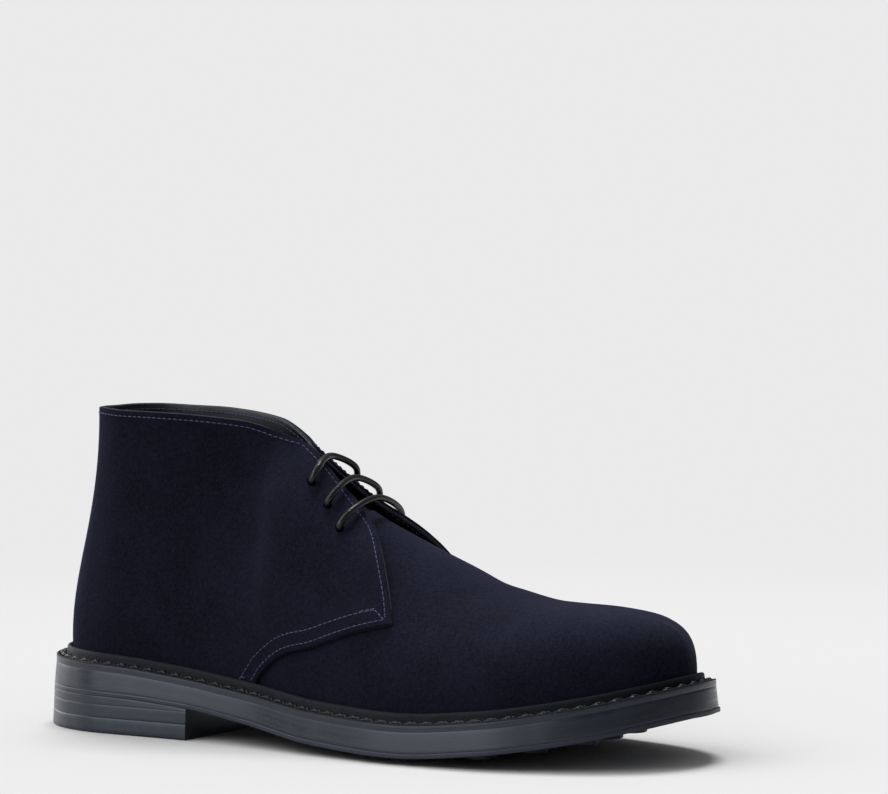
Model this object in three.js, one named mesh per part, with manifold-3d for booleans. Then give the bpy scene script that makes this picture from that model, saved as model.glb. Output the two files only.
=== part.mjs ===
// Chukka boot for the right foot: a vamp and two lapped quarters on a storm-welted sole with a stacked heel.
// Millimetres. +X runs to the toe, +Y to the wearer's left (the inner side), +Z up.

import * as THREE from 'three';
import { mergeVertices } from 'three/addons/utils/BufferGeometryUtils.js';
import Module from 'manifold-3d';

const wasm = await Module();
wasm.setup();

// ---------- Driving dimensions ----------

const SOLE_LENGTH = 302;
const SOLE_STATIONS = 36;
const GAP = 0.35;

// Sole layers
const OUTSOLE_THICKNESS = 2;
const WELT_THICKNESS = 3;
const INSOLE_THICKNESS = 3;
const INSOLE_INSET = 11.6;
const MIDSOLE_FLARE = 1;
const OUTSOLE_LIP = 1.6;

// Studs of the tread
const STUD_RADIUS = 6.2;
const STUD_HEIGHT = 2.6;
const STUD_PITCH = 19;
const STUD_MARGIN = 7;
const STUD_SIDES = 14;
const STUD_ROOT = 1; // how far a stud reaches into the sheet above it
const ROW_PITCH = 16.53; // between staggered rows
const TREAD_START = 128;
const TREAD_END = 264;
const BALL = 205; // studs get lower ahead of it
const STUD_FADE = 0.022; // height lost for each millimetre ahead of the ball

// Heel
const HEEL_LENGTH = 87;
const HEEL_FLARE = 2;
const BREAST_CLEARANCE = 0.3; // least part of a step between the heel's last turn and its breast
const TOP_LIFT_THICKNESS = 6.4;

// Welt: a flange that slopes outward and a raised rim against the upper
const FLANGE_WIDTH = 4.7;
const FLANGE_RISE = 1.3;
const RIM_HEIGHT = 2.4;
const RIM_WIDTH = 2.2;
const RIM_LEAN = 0.8;
const RIM_BEVELS = { foot: 0.3, outerRun: 0.8, outerDrop: 0.5, innerRun: 0.3, innerDrop: 0.4 };

// Upper
const VAMP_WALL = 2.3;
const QUARTER_PROUD = 1.6;
const QUARTER_WALL = 2.4;
const FREE_FROM = 0.42;
const FREE_ABOVE = 0.72;
// The inner flap's stand-off, as a part of the outer flap's: it lies closer at the top hole than in front.
const INNER_LIFT = { back: 0.4, front: 1, from: 130, to: 158 };
const TONGUE_WALL = 2;
const TONGUE_DEPTH = 1.3;
const TONGUE_TOP = 127; // station of its top edge
const TONGUE_REACH = 0.2; // part of each side's height that it covers
const TONGUE_COLUMNS = 6;
const TONGUE_ROWS = 6;

// Lace
const LACE_RADIUS = 1.35;
const LACE_SIDES = 8;
const LACE_STEPS = 20;
const LACE_EXITS = [-0.8, 1, 3.4]; // reaches along a hole's axis that a bar passes through
const LACE_TURN = { reach: 8, share: 0.25 }; // where it bends over, and how far that is towards the crown
const EYELET_RADIUS = 2.1;
const EYELET_SIDES = 16;

// Plan of the sole: its edge on the outer (-Y) and inner (+Y) side at each station along the boot.
const PLAN = [
  { x: 0, lateral: 0, medial: 0 },
  { x: 8, lateral: -21, medial: 21 },
  { x: 24, lateral: -32, medial: 31.5 },
  { x: 41, lateral: -36, medial: 34 },
  { x: 81, lateral: -37, medial: 33 },
  { x: 116, lateral: -40, medial: 30 },
  { x: 156, lateral: -48, medial: 36 },
  { x: 196, lateral: -53.5, medial: 49 },
  { x: 231, lateral: -51.5, medial: 52 },
  { x: 256, lateral: -44.5, medial: 47.5 },
  { x: 276, lateral: -35, medial: 41 },
  { x: 290, lateral: -24, medial: 32 },
  { x: 302, lateral: 4, medial: 4 },
];

// Side profile of the sole: top of the welt's edge, and underside of the outsole.
const PROFILE = [
  { x: 0, edge: 29.4, under: 15.4 },
  { x: 46, edge: 28.2, under: 15 },
  { x: 81, edge: 25.4, under: 13.2 },
  { x: 116, edge: 21.4, under: 9.2 },
  { x: 156, edge: 17, under: 4 },
  { x: 196, edge: 15.6, under: 2.5 },
  { x: 231, edge: 18.3, under: 5.2 },
  { x: 264, edge: 23.4, under: 10 },
  { x: 288, edge: 28.6, under: 15.3 },
  { x: 302, edge: 32.2, under: 18.9 },
];

// Meridians of the upper's own form, by the sole station where each begins.
// inset: how far its foot stands inside the sole's edge.
// topX, half, topZ: where it ends, at the collar (half from the centre line) or on the ridge (half 0).
// lie: 0 upright at the collar, 1 lying across the ridge.
// rise and reach: handle lengths at foot and top as a part of the chord.
// bulge: outward swell of the lower handle.
const MERIDIANS = [
  { x: 0, inset: 8.8, topX: 25, half: 0, topZ: 132.5, lie: 0, rise: 0.34, reach: 0.45, bulge: 3 },
  { x: 8, inset: 8.8, topX: 27, half: 11, topZ: 132.7, lie: 0, rise: 0.34, reach: 0.45, bulge: 2.8 },
  { x: 24, inset: 8.8, topX: 34, half: 18.5, topZ: 132.6, lie: 0, rise: 0.34, reach: 0.43, bulge: 2.3 },
  { x: 41, inset: 8.8, topX: 46, half: 22.5, topZ: 132, lie: 0, rise: 0.34, reach: 0.4, bulge: 1.5 },
  { x: 60, inset: 8.8, topX: 62, half: 22.5, topZ: 131.6, lie: 0, rise: 0.34, reach: 0.38, bulge: 1 },
  { x: 81, inset: 8.8, topX: 80, half: 18.5, topZ: 130.6, lie: 0, rise: 0.34, reach: 0.36, bulge: 1 },
  { x: 100, inset: 8.8, topX: 97, half: 12.5, topZ: 128.6, lie: 0.05, rise: 0.35, reach: 0.34, bulge: 1.5 },
  { x: 112, inset: 8.8, topX: 108, half: 8, topZ: 125.5, lie: 0.2, rise: 0.36, reach: 0.32, bulge: 2 },
  { x: 120, inset: 8.6, topX: 116, half: 4, topZ: 121, lie: 0.5, rise: 0.37, reach: 0.3, bulge: 2 },
  { x: 126, inset: 8.2, topX: 122, half: 0, topZ: 116, lie: 0.8, rise: 0.38, reach: 0.28, bulge: 2 },
  { x: 138, inset: 7.6, topX: 135, half: 0, topZ: 104, lie: 1, rise: 0.4, reach: 0.27, bulge: 2.5 },
  { x: 150, inset: 7.6, topX: 149, half: 0, topZ: 93, lie: 1, rise: 0.42, reach: 0.28, bulge: 3 },
  { x: 166, inset: 7.6, topX: 166, half: 0, topZ: 84.5, lie: 1, rise: 0.44, reach: 0.3, bulge: 2.6 },
  { x: 191, inset: 7.6, topX: 191, half: 0, topZ: 73.5, lie: 1, rise: 0.46, reach: 0.32, bulge: 2.2 },
  { x: 212, inset: 7.6, topX: 212, half: 0, topZ: 65, lie: 1, rise: 0.49, reach: 0.35, bulge: 1.8 },
  { x: 236, inset: 7.6, topX: 235, half: 0, topZ: 59.6, lie: 1, rise: 0.54, reach: 0.42, bulge: 1.6 },
  { x: 264, inset: 7.6, topX: 258, half: 0, topZ: 58.6, lie: 1, rise: 0.57, reach: 0.5, bulge: 1.5 },
  { x: 288, inset: 7.6, topX: 272, half: 0, topZ: 57.2, lie: 1, rise: 0.56, reach: 0.54, bulge: 1.2 },
  { x: 302, inset: 7.6, topX: 277, half: 0, topZ: 56, lie: 1, rise: 0.56, reach: 0.55, bulge: 1.2 },
];

// The ridge's bend to the inner side.
const CENTRE_LINE = [
  { x: 0, y: 0 },
  { x: 90, y: 0 },
  { x: 150, y: 2 },
  { x: 220, y: 4 },
  { x: 302, y: 4 },
];

// Free edge of each quarter, as a height along the meridian of each station: level round the collar, over the
// crest of the throat at 129, then down the front edge to the low corner at 185.
const FREE_EDGE = [
  { x: 0, height: 1 },
  { x: 104, height: 1 },
  { x: 117, height: 0.985 },
  { x: 129, height: 0.955 },
  { x: 146, height: 0.9 },
  { x: 160, height: 0.82 },
  { x: 171, height: 0.68 },
  { x: 180, height: 0.53 },
  { x: 185, height: 0.41 },
];
const CREST = 129;
const CORNER = 185;

// Lower lapped seam, from where it leaves the welt to the corner.
const LOWER_SEAM = [
  { x: 0, height: 0 },
  { x: 111, height: 0 },
  { x: 121, height: 0.1 },
  { x: 132, height: 0.17 },
  { x: 147, height: 0.23 },
  { x: 168, height: 0.33 },
  { x: 185, height: 0.41 },
];

// The free front of a quarter stands off the vamp: how far, by the distance behind a line from its crest
// to its corner.
const FLAP = [
  { behind: 0, lift: 4 },
  { behind: 25, lift: 2.4 },
  { behind: 60, lift: 0 },
];

// Back edge of the vamp, hidden under the quarters: station at each height.
const VAMP_BACK = [
  { height: 0, station: 104 },
  { height: 0.4, station: 132 },
  { height: 0.7, station: 146 },
  { height: 1, station: 151 },
];

// Lace holes, by station and height along its meridian. The bar of lace between each pair rises to a crown,
// ahead of and above the middle of the two holes.
const EYELETS = [
  { x: 133.5, height: 0.805, crownAhead: 0, crownRise: 11.6 },
  { x: 141.5, height: 0.765, crownAhead: 2.5, crownRise: 11.6 },
  { x: 149.7, height: 0.71, crownAhead: 4.5, crownRise: 12.6 },
];

// ---------- Curves and small helpers ----------

// A smooth curve through one column of a table, which never overshoots its rows.
function curveOf(rows, key, column, place = (x) => x) {
  const at = rows.map((row) => place(row[key]));
  const value = rows.map((row) => row[column]);
  const last = rows.length - 1;
  const rise = value.slice(1).map((next, i) => (next - value[i]) / (at[i + 1] - at[i]));
  const slope = value.map((_, i) => {
    if (i === 0) return rise[0];
    if (i === last) return rise[last - 1];
    if (rise[i - 1] * rise[i] <= 0) return 0;
    return (2 * rise[i - 1] * rise[i]) / (rise[i - 1] + rise[i]);
  });
  return (x) => {
    const here = THREE.MathUtils.clamp(place(x), at[0], at[last]);
    let i = 0;
    while (i < last - 1 && here > at[i + 1]) i += 1;
    const span = at[i + 1] - at[i];
    const t = (here - at[i]) / span;
    const ease = t * t * (3 - 2 * t);
    const leaving = slope[i] * span * t * (1 - t) * (1 - t);
    const arriving = slope[i + 1] * span * t * t * (1 - t);
    return value[i] * (1 - ease) + value[i + 1] * ease + leaving - arriving;
  };
}

// Turn round the sole, 0 at the heel to 1 at the toe: even turns are even steps round both ends.
const turnAt = (x) => Math.acos(1 - (2 * x) / SOLE_LENGTH) / Math.PI;
const stationAt = (turn) => (SOLE_LENGTH * (1 - Math.cos(Math.PI * turn))) / 2;

const lateralEdge = curveOf(PLAN, 'x', 'lateral', turnAt);
const medialEdge = curveOf(PLAN, 'x', 'medial', turnAt);
const edgeHeight = curveOf(PROFILE, 'x', 'edge');
const underHeight = curveOf(PROFILE, 'x', 'under');
const centreLine = curveOf(CENTRE_LINE, 'x', 'y');
const meridian = Object.fromEntries(
  Object.keys(MERIDIANS[0]).map((column) => [column, curveOf(MERIDIANS, 'x', column, turnAt)]),
);

// Point on the sole's outline, moved inward. side is -1 on the outer side and 1 on the inner side.
const TURN_STEP = 0.004;
function planPoint(turn, side, inset = 0) {
  const edge = side < 0 ? lateralEdge : medialEdge;
  const at = (t) => new THREE.Vector2(stationAt(t), edge(stationAt(t)));
  const point = at(turn);
  if (turn === 0) return point.add(new THREE.Vector2(inset, 0));
  if (turn === 1) return point.add(new THREE.Vector2(-inset, 0));
  const along = at(Math.min(turn + TURN_STEP, 1)).sub(at(Math.max(turn - TURN_STEP, 0))).normalize();
  return point.add(new THREE.Vector2(along.y * side, -along.x * side).multiplyScalar(inset));
}

// ---------- Closed meshes ----------

// A geometry from points and triangles, its faces turned outward.
function geometryOf(points, triangles) {
  let volume = 0;
  for (const [a, b, c] of triangles) {
    volume += points[a].dot(new THREE.Vector3().crossVectors(points[b], points[c]));
  }
  const faces = volume < 0 ? triangles.map(([a, b, c]) => [a, c, b]) : triangles;
  const geometry = new THREE.BufferGeometry();
  geometry.setAttribute('position', new THREE.Float32BufferAttribute(points.flatMap((p) => p.toArray()), 3));
  geometry.setIndex(faces.flat());
  return geometry;
}

const quad = (a, b, c, d) => [[a, b, c], [a, c, d]];

// A layer of the sole between two levels, each with its inset and its height along the boot.
function slab(turns, bottom, top) {
  const ring = (level) => {
    const point = (turn, side) => {
      const { x, y } = planPoint(turn, side, level.inset);
      return new THREE.Vector3(x, y, level.height(x));
    };
    return [...turns.map((turn) => point(turn, -1)), ...[...turns].reverse().map((turn) => point(turn, 1))];
  };
  const points = [...ring(bottom), ...ring(top)];
  const count = turns.length * 2;
  const triangles = [];
  for (let i = 0; i < count; i += 1) {
    const next = (i + 1) % count;
    triangles.push(...quad(i, next, count + next, count + i));
  }
  for (let i = 0; i < turns.length - 1; i += 1) {
    const across = count - 1 - i;
    triangles.push(...quad(i, across, across - 1, i + 1));
    triangles.push(...quad(count + i, count + i + 1, count + across - 1, count + across));
  }
  return geometryOf(points, triangles);
}

// A ring round the sole with one section, given as points of inset and height.
function ring(turns, section) {
  const stops = [
    ...turns.map((turn) => ({ turn, side: -1 })),
    ...[...turns].reverse().map((turn) => ({ turn, side: 1 })),
  ];
  const points = stops.flatMap(({ turn, side }) =>
    section.map(({ inset, height }) => {
      const { x, y } = planPoint(turn, side, inset);
      return new THREE.Vector3(x, y, height(x));
    }),
  );
  const triangles = [];
  const width = section.length;
  for (let i = 0; i < stops.length; i += 1) {
    const next = (i + 1) % stops.length;
    for (let j = 0; j < width; j += 1) {
      const up = (j + 1) % width;
      triangles.push(...quad(i * width + j, next * width + j, next * width + up, i * width + up));
    }
  }
  return geometryOf(points, triangles);
}

// A wall between an outer and an inner sheet of points. foldedEnd: the last column already meets itself.
function wall(columns, rows, outer, inner, foldedEnd = false) {
  const points = [];
  for (const sheet of [outer, inner]) {
    for (let i = 0; i <= columns; i += 1) {
      for (let j = 0; j <= rows; j += 1) points.push(sheet(i, j));
    }
  }
  const at = (layer, i, j) => layer * (columns + 1) * (rows + 1) + i * (rows + 1) + j;
  const triangles = [];
  for (let i = 0; i < columns; i += 1) {
    for (let j = 0; j < rows; j += 1) {
      triangles.push(...quad(at(0, i, j), at(0, i + 1, j), at(0, i + 1, j + 1), at(0, i, j + 1)));
      triangles.push(...quad(at(1, i, j), at(1, i, j + 1), at(1, i + 1, j + 1), at(1, i + 1, j)));
    }
    triangles.push(...quad(at(0, i, 0), at(1, i, 0), at(1, i + 1, 0), at(0, i + 1, 0)));
    triangles.push(...quad(at(0, i, rows), at(0, i + 1, rows), at(1, i + 1, rows), at(1, i, rows)));
  }
  for (let j = 0; j < rows; j += 1) {
    triangles.push(...quad(at(0, 0, j), at(0, 0, j + 1), at(1, 0, j + 1), at(1, 0, j)));
    if (foldedEnd) continue;
    const [outerEnd, innerEnd] = [at(0, columns, j), at(1, columns, j)];
    triangles.push(...quad(outerEnd, innerEnd, at(1, columns, j + 1), at(0, columns, j + 1)));
  }
  return geometryOf(points, triangles);
}

// A rod of one radius along a path.
function rod(path, radius, sides, steps) {
  const circle = new THREE.Shape(
    Array.from({ length: sides }, (_, i) => {
      const angle = (2 * Math.PI * i) / sides;
      return new THREE.Vector2(radius * Math.cos(angle), radius * Math.sin(angle));
    }),
  );
  return new THREE.ExtrudeGeometry(circle, { steps, extrudePath: path, bevelEnabled: false });
}

// ---------- Booleans ----------

function solidOf(geometry) {
  const bare = geometry.clone();
  bare.deleteAttribute('normal');
  bare.deleteAttribute('uv');
  const merged = mergeVertices(bare, 1e-4);
  const index = merged.index.array;
  const kept = [];
  for (let i = 0; i < index.length; i += 3) {
    const [a, b, c] = [index[i], index[i + 1], index[i + 2]];
    if (a !== b && b !== c && c !== a) kept.push(a, b, c);
  }
  return new wasm.Manifold(
    new wasm.Mesh({
      numProp: 3,
      vertProperties: Float32Array.from(merged.getAttribute('position').array),
      triVerts: Uint32Array.from(kept),
    }),
  );
}

function geometryFrom(solid) {
  const { vertProperties, triVerts } = solid.getMesh();
  const geometry = new THREE.BufferGeometry();
  geometry.setAttribute('position', new THREE.BufferAttribute(vertProperties, 3));
  geometry.setIndex(new THREE.BufferAttribute(triVerts, 1));
  return geometry;
}

// ---------- The upper's form ----------

const weltBase = (x) => edgeHeight(x) - WELT_THICKNESS;
const UP = new THREE.Vector3(0, 0, 1);

// Top end of a turn's meridian.
function topPoint(turn, side) {
  const x = stationAt(turn);
  const topX = meridian.topX(x);
  return new THREE.Vector3(topX, centreLine(topX) + side * meridian.half(x), meridian.topZ(x));
}

// Point of the form: turn round the sole, height 0 at the sole to 1 at the collar or ridge, and side.
function formPoint(turn, height, side) {
  const x = stationAt(turn);
  const plan = planPoint(turn, side, meridian.inset(x));
  const foot = new THREE.Vector3(plan.x, plan.y, weltBase(plan.x) + GAP);
  const top = topPoint(turn, side);
  const chord = foot.distanceTo(top);
  const outward = new THREE.Vector2(foot.x - top.x, foot.y - top.y);
  if (turn > 0 && turn < 1) {
    const further = planPoint(turn, side, 0);
    outward.set(further.x - plan.x, further.y - plan.y);
  }
  outward.normalize();
  const low = foot.clone().addScaledVector(UP, chord * meridian.rise(x));
  low.x += outward.x * meridian.bulge(x);
  low.y += outward.y * meridian.bulge(x);
  const ridge = topPoint(Math.min(turn + TURN_STEP, 1), side).sub(topPoint(turn - TURN_STEP, side));
  const fall = Math.abs(ridge.x) > 1e-6 ? ridge.z / ridge.x : 0;
  const away = new THREE.Vector2(foot.x - top.x, foot.y - top.y).normalize();
  const across = new THREE.Vector3(away.x, away.y, away.x * fall).normalize();
  const handle = new THREE.Vector3(0, 0, -1).lerp(across, meridian.lie(x)).normalize();
  const high = top.clone().addScaledVector(handle, chord * meridian.reach(x));
  return new THREE.CubicBezierCurve3(foot, low, high, top).getPoint(height);
}

// Outward normal of the form. On the lines that both sides share it is the mean of the two sides.
const NORMAL_STEP = 0.012;
function formNormal(turn, height, side) {
  const onSide = (s) => {
    const t = THREE.MathUtils.clamp(turn, NORMAL_STEP, 1 - 2 * NORMAL_STEP);
    const h = THREE.MathUtils.clamp(height, NORMAL_STEP, 1 - 2 * NORMAL_STEP);
    const along = formPoint(t + NORMAL_STEP, h, s).sub(formPoint(t - NORMAL_STEP, h, s));
    const up = formPoint(t, h + NORMAL_STEP, s).sub(formPoint(t, h - NORMAL_STEP, s));
    return along.cross(up).multiplyScalar(-s).normalize();
  };
  const onRidge = height === 1 && meridian.half(stationAt(turn)) === 0;
  if (turn === 0 || turn === 1 || onRidge) return onSide(-1).add(onSide(1)).normalize();
  return onSide(side);
}

// Point at an offset from the form.
function offsetPoint(turn, height, side, offset) {
  return formPoint(turn, height, side).addScaledVector(formNormal(turn, height, side), offset);
}

// ---------- Quarters, vamp and tongue ----------

const freeHeight = curveOf(FREE_EDGE, 'x', 'height');
const seamHeight = curveOf(LOWER_SEAM, 'x', 'height');
const flapLift = curveOf(FLAP, 'behind', 'lift');
const vampBack = curveOf(VAMP_BACK, 'height', 'station');

// Point of a quarter's wall at a station and height. Near the front edge and above the corner it stands free.
function quarterPoint(x, height, side, depth) {
  const line = THREE.MathUtils.mapLinear(height, freeHeight(CORNER), freeHeight(CREST), CORNER, CREST);
  const stand = flapLift(line - x) * THREE.MathUtils.smoothstep(height, FREE_FROM, FREE_ABOVE);
  const forward = THREE.MathUtils.smoothstep(x, INNER_LIFT.from, INNER_LIFT.to);
  const innerShare = THREE.MathUtils.lerp(INNER_LIFT.back, INNER_LIFT.front, forward);
  const lift = side > 0 ? stand * innerShare : stand;
  return offsetPoint(turnAt(x), height, side, QUARTER_PROUD + lift - depth);
}

const QUARTER_COLUMNS = 24;
const QUARTER_ROWS = 12;
const CORNER_CROWDING = 1.6;
const VAMP_COLUMNS = 16;
const VAMP_ROWS = 12;

// Both quarters are one wall, from the outer corner round the heel to the inner corner.
function quarters() {
  const sheet = (depth) => (i, j) => {
    const along = (i - QUARTER_COLUMNS) / QUARTER_COLUMNS;
    const spread = 1 - (1 - Math.abs(along)) ** CORNER_CROWDING;
    const x = stationAt(turnAt(CORNER) * spread);
    const height = THREE.MathUtils.lerp(seamHeight(x), freeHeight(x), j / QUARTER_ROWS);
    return quarterPoint(x, height, along < 0 ? -1 : 1, depth);
  };
  return solidOf(wall(2 * QUARTER_COLUMNS, QUARTER_ROWS, sheet(0), sheet(QUARTER_WALL)));
}

// The vamp runs from its hidden back edge round the toe, over the ridge from side to side.
function vamp() {
  const sheet = (offset) => (i, j) => {
    const across = (j - VAMP_ROWS) / VAMP_ROWS;
    const height = 1 - Math.abs(across);
    const back = turnAt(vampBack(height));
    return offsetPoint(back + (1 - back) * (i / VAMP_COLUMNS), height, across < 0 ? -1 : 1, offset);
  };
  return solidOf(wall(VAMP_COLUMNS, 2 * VAMP_ROWS, sheet(0), sheet(-VAMP_WALL), true));
}

// The tongue lies under the quarters, from the vamp's back edge up to the collar.
function tongue() {
  const sheet = (offset) => (i, j) => {
    const across = (j - TONGUE_ROWS) / TONGUE_ROWS;
    const height = 1 - Math.abs(across) * TONGUE_REACH;
    const [top, foot] = [turnAt(TONGUE_TOP), turnAt(vampBack(height) - 2 * GAP)];
    return offsetPoint(top + (foot - top) * (i / TONGUE_COLUMNS), height, across < 0 ? -1 : 1, offset);
  };
  return wall(TONGUE_COLUMNS, 2 * TONGUE_ROWS, sheet(-TONGUE_DEPTH), sheet(-TONGUE_DEPTH - TONGUE_WALL));
}

// ---------- Lace ----------

const EYELET_DEPTH = 7;
function eyelet({ x, height }, side) {
  const outer = quarterPoint(x, height, side, 0);
  const inner = quarterPoint(x, height, side, QUARTER_WALL);
  const axis = outer.clone().sub(inner).normalize();
  return { centre: outer.clone().add(inner).multiplyScalar(0.5), axis };
}

function eyeletDrill(hole, side) {
  const { centre, axis } = eyelet(hole, side);
  const ends = [-1, 1].map((end) => centre.clone().addScaledVector(axis, end * EYELET_DEPTH));
  return solidOf(rod(new THREE.LineCurve3(...ends), EYELET_RADIUS, EYELET_SIDES, 1));
}

// One bar of lace: out of the outer hole, over the throat and into the inner hole.
function laceBar(hole) {
  const [near, far] = [eyelet(hole, -1), eyelet(hole, 1)];
  const at = (end, reach) => end.centre.clone().addScaledVector(end.axis, reach);
  const crown = near.centre.clone().add(far.centre).multiplyScalar(0.5);
  crown.add(new THREE.Vector3(hole.crownAhead, 0, hole.crownRise));
  const leaving = (end) => [
    ...LACE_EXITS.map((reach) => at(end, reach)),
    at(end, LACE_TURN.reach).lerp(crown, LACE_TURN.share),
  ];
  const path = new THREE.CatmullRomCurve3([...leaving(near), crown, ...leaving(far).reverse()]);
  return rod(path, LACE_RADIUS, LACE_SIDES, LACE_STEPS);
}

// ---------- Sole ----------

const allTurns = Array.from({ length: SOLE_STATIONS }, (_, i) => (i + 0.5) / SOLE_STATIONS);
const heelTurn = turnAt(HEEL_LENGTH);
const lastHeelTurn = heelTurn - BREAST_CLEARANCE / SOLE_STATIONS;
const heelTurns = [...allTurns.filter((turn) => turn < lastHeelTurn), heelTurn];
const level = (inset, height) => ({ inset, height });
const outsoleTop = (x) => underHeight(x) + OUTSOLE_THICKNESS;

function outsole() {
  let solid = solidOf(slab(allTurns, level(-OUTSOLE_LIP, underHeight), level(-OUTSOLE_LIP, outsoleTop)));
  let row = 0;
  for (let x = TREAD_START; x <= TREAD_END; x += ROW_PITCH) {
    const margin = STUD_MARGIN + STUD_RADIUS;
    const [low, high] = [lateralEdge(x) + margin, medialEdge(x) - margin];
    const centre = (low + high) / 2;
    const stagger = row % 2 ? 0.5 : 0;
    const reach = Math.floor((high - low) / 2 / STUD_PITCH + stagger) - stagger;
    const depth = STUD_HEIGHT - STUD_FADE * Math.max(0, x - BALL);
    for (let step = -reach; step <= reach; step += 1) {
      const y = centre + step * STUD_PITCH;
      const foot = Math.max(0, underHeight(x) - depth);
      const height = underHeight(x) + STUD_ROOT - foot;
      const stud = new THREE.CylinderGeometry(STUD_RADIUS, STUD_RADIUS, height, STUD_SIDES);
      stud.rotateX(Math.PI / 2);
      stud.translate(x, y, foot + height / 2);
      solid = solid.add(solidOf(stud));
    }
    row += 1;
  }
  return geometryFrom(solid);
}

function welt() {
  const above = (rise) => (x) => edgeHeight(x) + rise;
  const rimTop = FLANGE_RISE + RIM_HEIGHT;
  const inner = FLANGE_WIDTH + RIM_WIDTH;
  return ring(allTurns, [
    level(0, (x) => weltBase(x) + GAP),
    level(0, above(0)),
    level(FLANGE_WIDTH, above(FLANGE_RISE)),
    level(FLANGE_WIDTH + RIM_BEVELS.foot, above(rimTop - RIM_BEVELS.outerDrop)),
    level(FLANGE_WIDTH + RIM_BEVELS.outerRun, above(rimTop)),
    level(inner - RIM_LEAN - RIM_BEVELS.innerRun, above(rimTop)),
    level(inner - RIM_LEAN, above(rimTop - RIM_BEVELS.innerDrop)),
    level(inner, (x) => weltBase(x) + GAP),
  ]);
}

// ---------- Assembly ----------

const upper = EYELETS.reduce(
  (solid, hole) => solid.subtract(eyeletDrill(hole, -1)).subtract(eyeletDrill(hole, 1)),
  quarters(),
).add(vamp());

const blackRubber = { color: 0x17181c, roughness: 0.55 };
const blackLeather = { color: 0x15161a, roughness: 0.5 };
const navyRubber = { color: 0x1a1e33, roughness: 0.7 };
const navySuede = { color: 0x12142a, roughness: 0.95 };

const pieces = [
  ['outsole', outsole(), navyRubber],
  ['midsole', slab(
    allTurns,
    level(-MIDSOLE_FLARE, (x) => outsoleTop(x) + GAP),
    level(0, weltBase),
  ), blackRubber],
  ['heel_stack', slab(
    heelTurns,
    level(-OUTSOLE_LIP, () => TOP_LIFT_THICKNESS + GAP),
    level(-MIDSOLE_FLARE, (x) => underHeight(x) - GAP),
  ), blackRubber],
  ['top_lift', slab(
    heelTurns,
    level(-HEEL_FLARE, () => 0),
    level(-OUTSOLE_LIP, () => TOP_LIFT_THICKNESS),
  ), blackRubber],
  ['welt', welt(), blackRubber],
  ['insole', slab(
    allTurns,
    level(INSOLE_INSET, (x) => weltBase(x) + GAP),
    level(INSOLE_INSET, (x) => weltBase(x) + GAP + INSOLE_THICKNESS),
  ), blackLeather],
  ['upper', geometryFrom(upper), navySuede],
  ['tongue', tongue(), blackLeather],
  ...EYELETS.map((hole, i) => [`lace_bar_${i + 1}`, laceBar(hole), blackLeather]),
];

const group = new THREE.Group();
for (const [name, geometry, material] of pieces) {
  const mesh = new THREE.Mesh(geometry, new THREE.MeshStandardMaterial(material));
  mesh.name = name;
  group.add(mesh);
}

// The origin is under the middle of the boot's box, on the floor.
const box = new THREE.Box3().setFromObject(group);
const middle = box.getCenter(new THREE.Vector3());
group.position.set(-middle.x, -middle.y, -box.min.z);

export default group;
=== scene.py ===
"""Right chukka boot in navy suede on a storm-welted sole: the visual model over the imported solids.

Shapes are worked out in millimetres from the back end of the sole, on the boot's own centre line, and become
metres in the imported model's frame as each mesh is made.
"""

import logging
import math
from dataclasses import dataclass, field
from enum import Enum
from typing import Callable, ClassVar, NamedTuple, Optional, Sequence

import bmesh
import bpy
import numpy as np
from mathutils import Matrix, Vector


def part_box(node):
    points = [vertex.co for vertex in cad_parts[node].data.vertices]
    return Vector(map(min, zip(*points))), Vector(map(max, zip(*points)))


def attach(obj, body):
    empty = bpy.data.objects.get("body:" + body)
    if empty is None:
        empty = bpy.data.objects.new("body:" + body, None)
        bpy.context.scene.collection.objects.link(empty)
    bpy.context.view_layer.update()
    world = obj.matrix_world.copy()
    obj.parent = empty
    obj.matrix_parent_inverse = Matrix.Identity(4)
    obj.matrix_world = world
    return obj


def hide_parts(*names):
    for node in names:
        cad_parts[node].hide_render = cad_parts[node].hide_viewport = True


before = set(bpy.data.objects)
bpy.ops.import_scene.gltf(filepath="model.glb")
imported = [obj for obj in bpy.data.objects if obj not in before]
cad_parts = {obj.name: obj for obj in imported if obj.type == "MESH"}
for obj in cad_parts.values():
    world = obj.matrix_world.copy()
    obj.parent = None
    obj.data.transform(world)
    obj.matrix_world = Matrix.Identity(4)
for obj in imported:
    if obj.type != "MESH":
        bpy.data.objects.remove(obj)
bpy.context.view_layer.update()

LOG = logging.getLogger("chukka")
METRE_PER_MM = 0.001
BODY = "root"
TINY = 1e-9

# How far a turn and a height are moved to find which way the surface runs.
TURN_STEP = 0.004
HEIGHT_STEP = 0.02

# Points between two knots of a cord, before they are spaced evenly.
KNOT_STEPS = 24
# Strips across a flat of the sole.
FLAT_STRIPS = 8
# How far a tube's rounded end stands out, as a part of its radius.
TUBE_END = 0.6

Array = np.ndarray
Material = bpy.types.Material
Node = bpy.types.Node
Piece = bpy.types.Object
Socket = bpy.types.NodeSocket
Tree = bpy.types.NodeTree
Pair = tuple[float, float]
Triple = tuple[float, float, float]
Colour = Triple

UP = np.array([0, 0, 1.0])


class Side(Enum):
    """The two sides of the boot, by the sign of y."""

    OUTER = -1
    INNER = 1


# ---------------------------------------------------------------------------
# Tables of the last
# ---------------------------------------------------------------------------


class PlanRow(NamedTuple):
    """Edge of the sole on the outer and inner side at a station."""

    x: float
    lateral: float
    medial: float


class ProfileRow(NamedTuple):
    """Top of the welt's edge and underside of the outsole at a station."""

    x: float
    edge: float
    under: float


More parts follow.
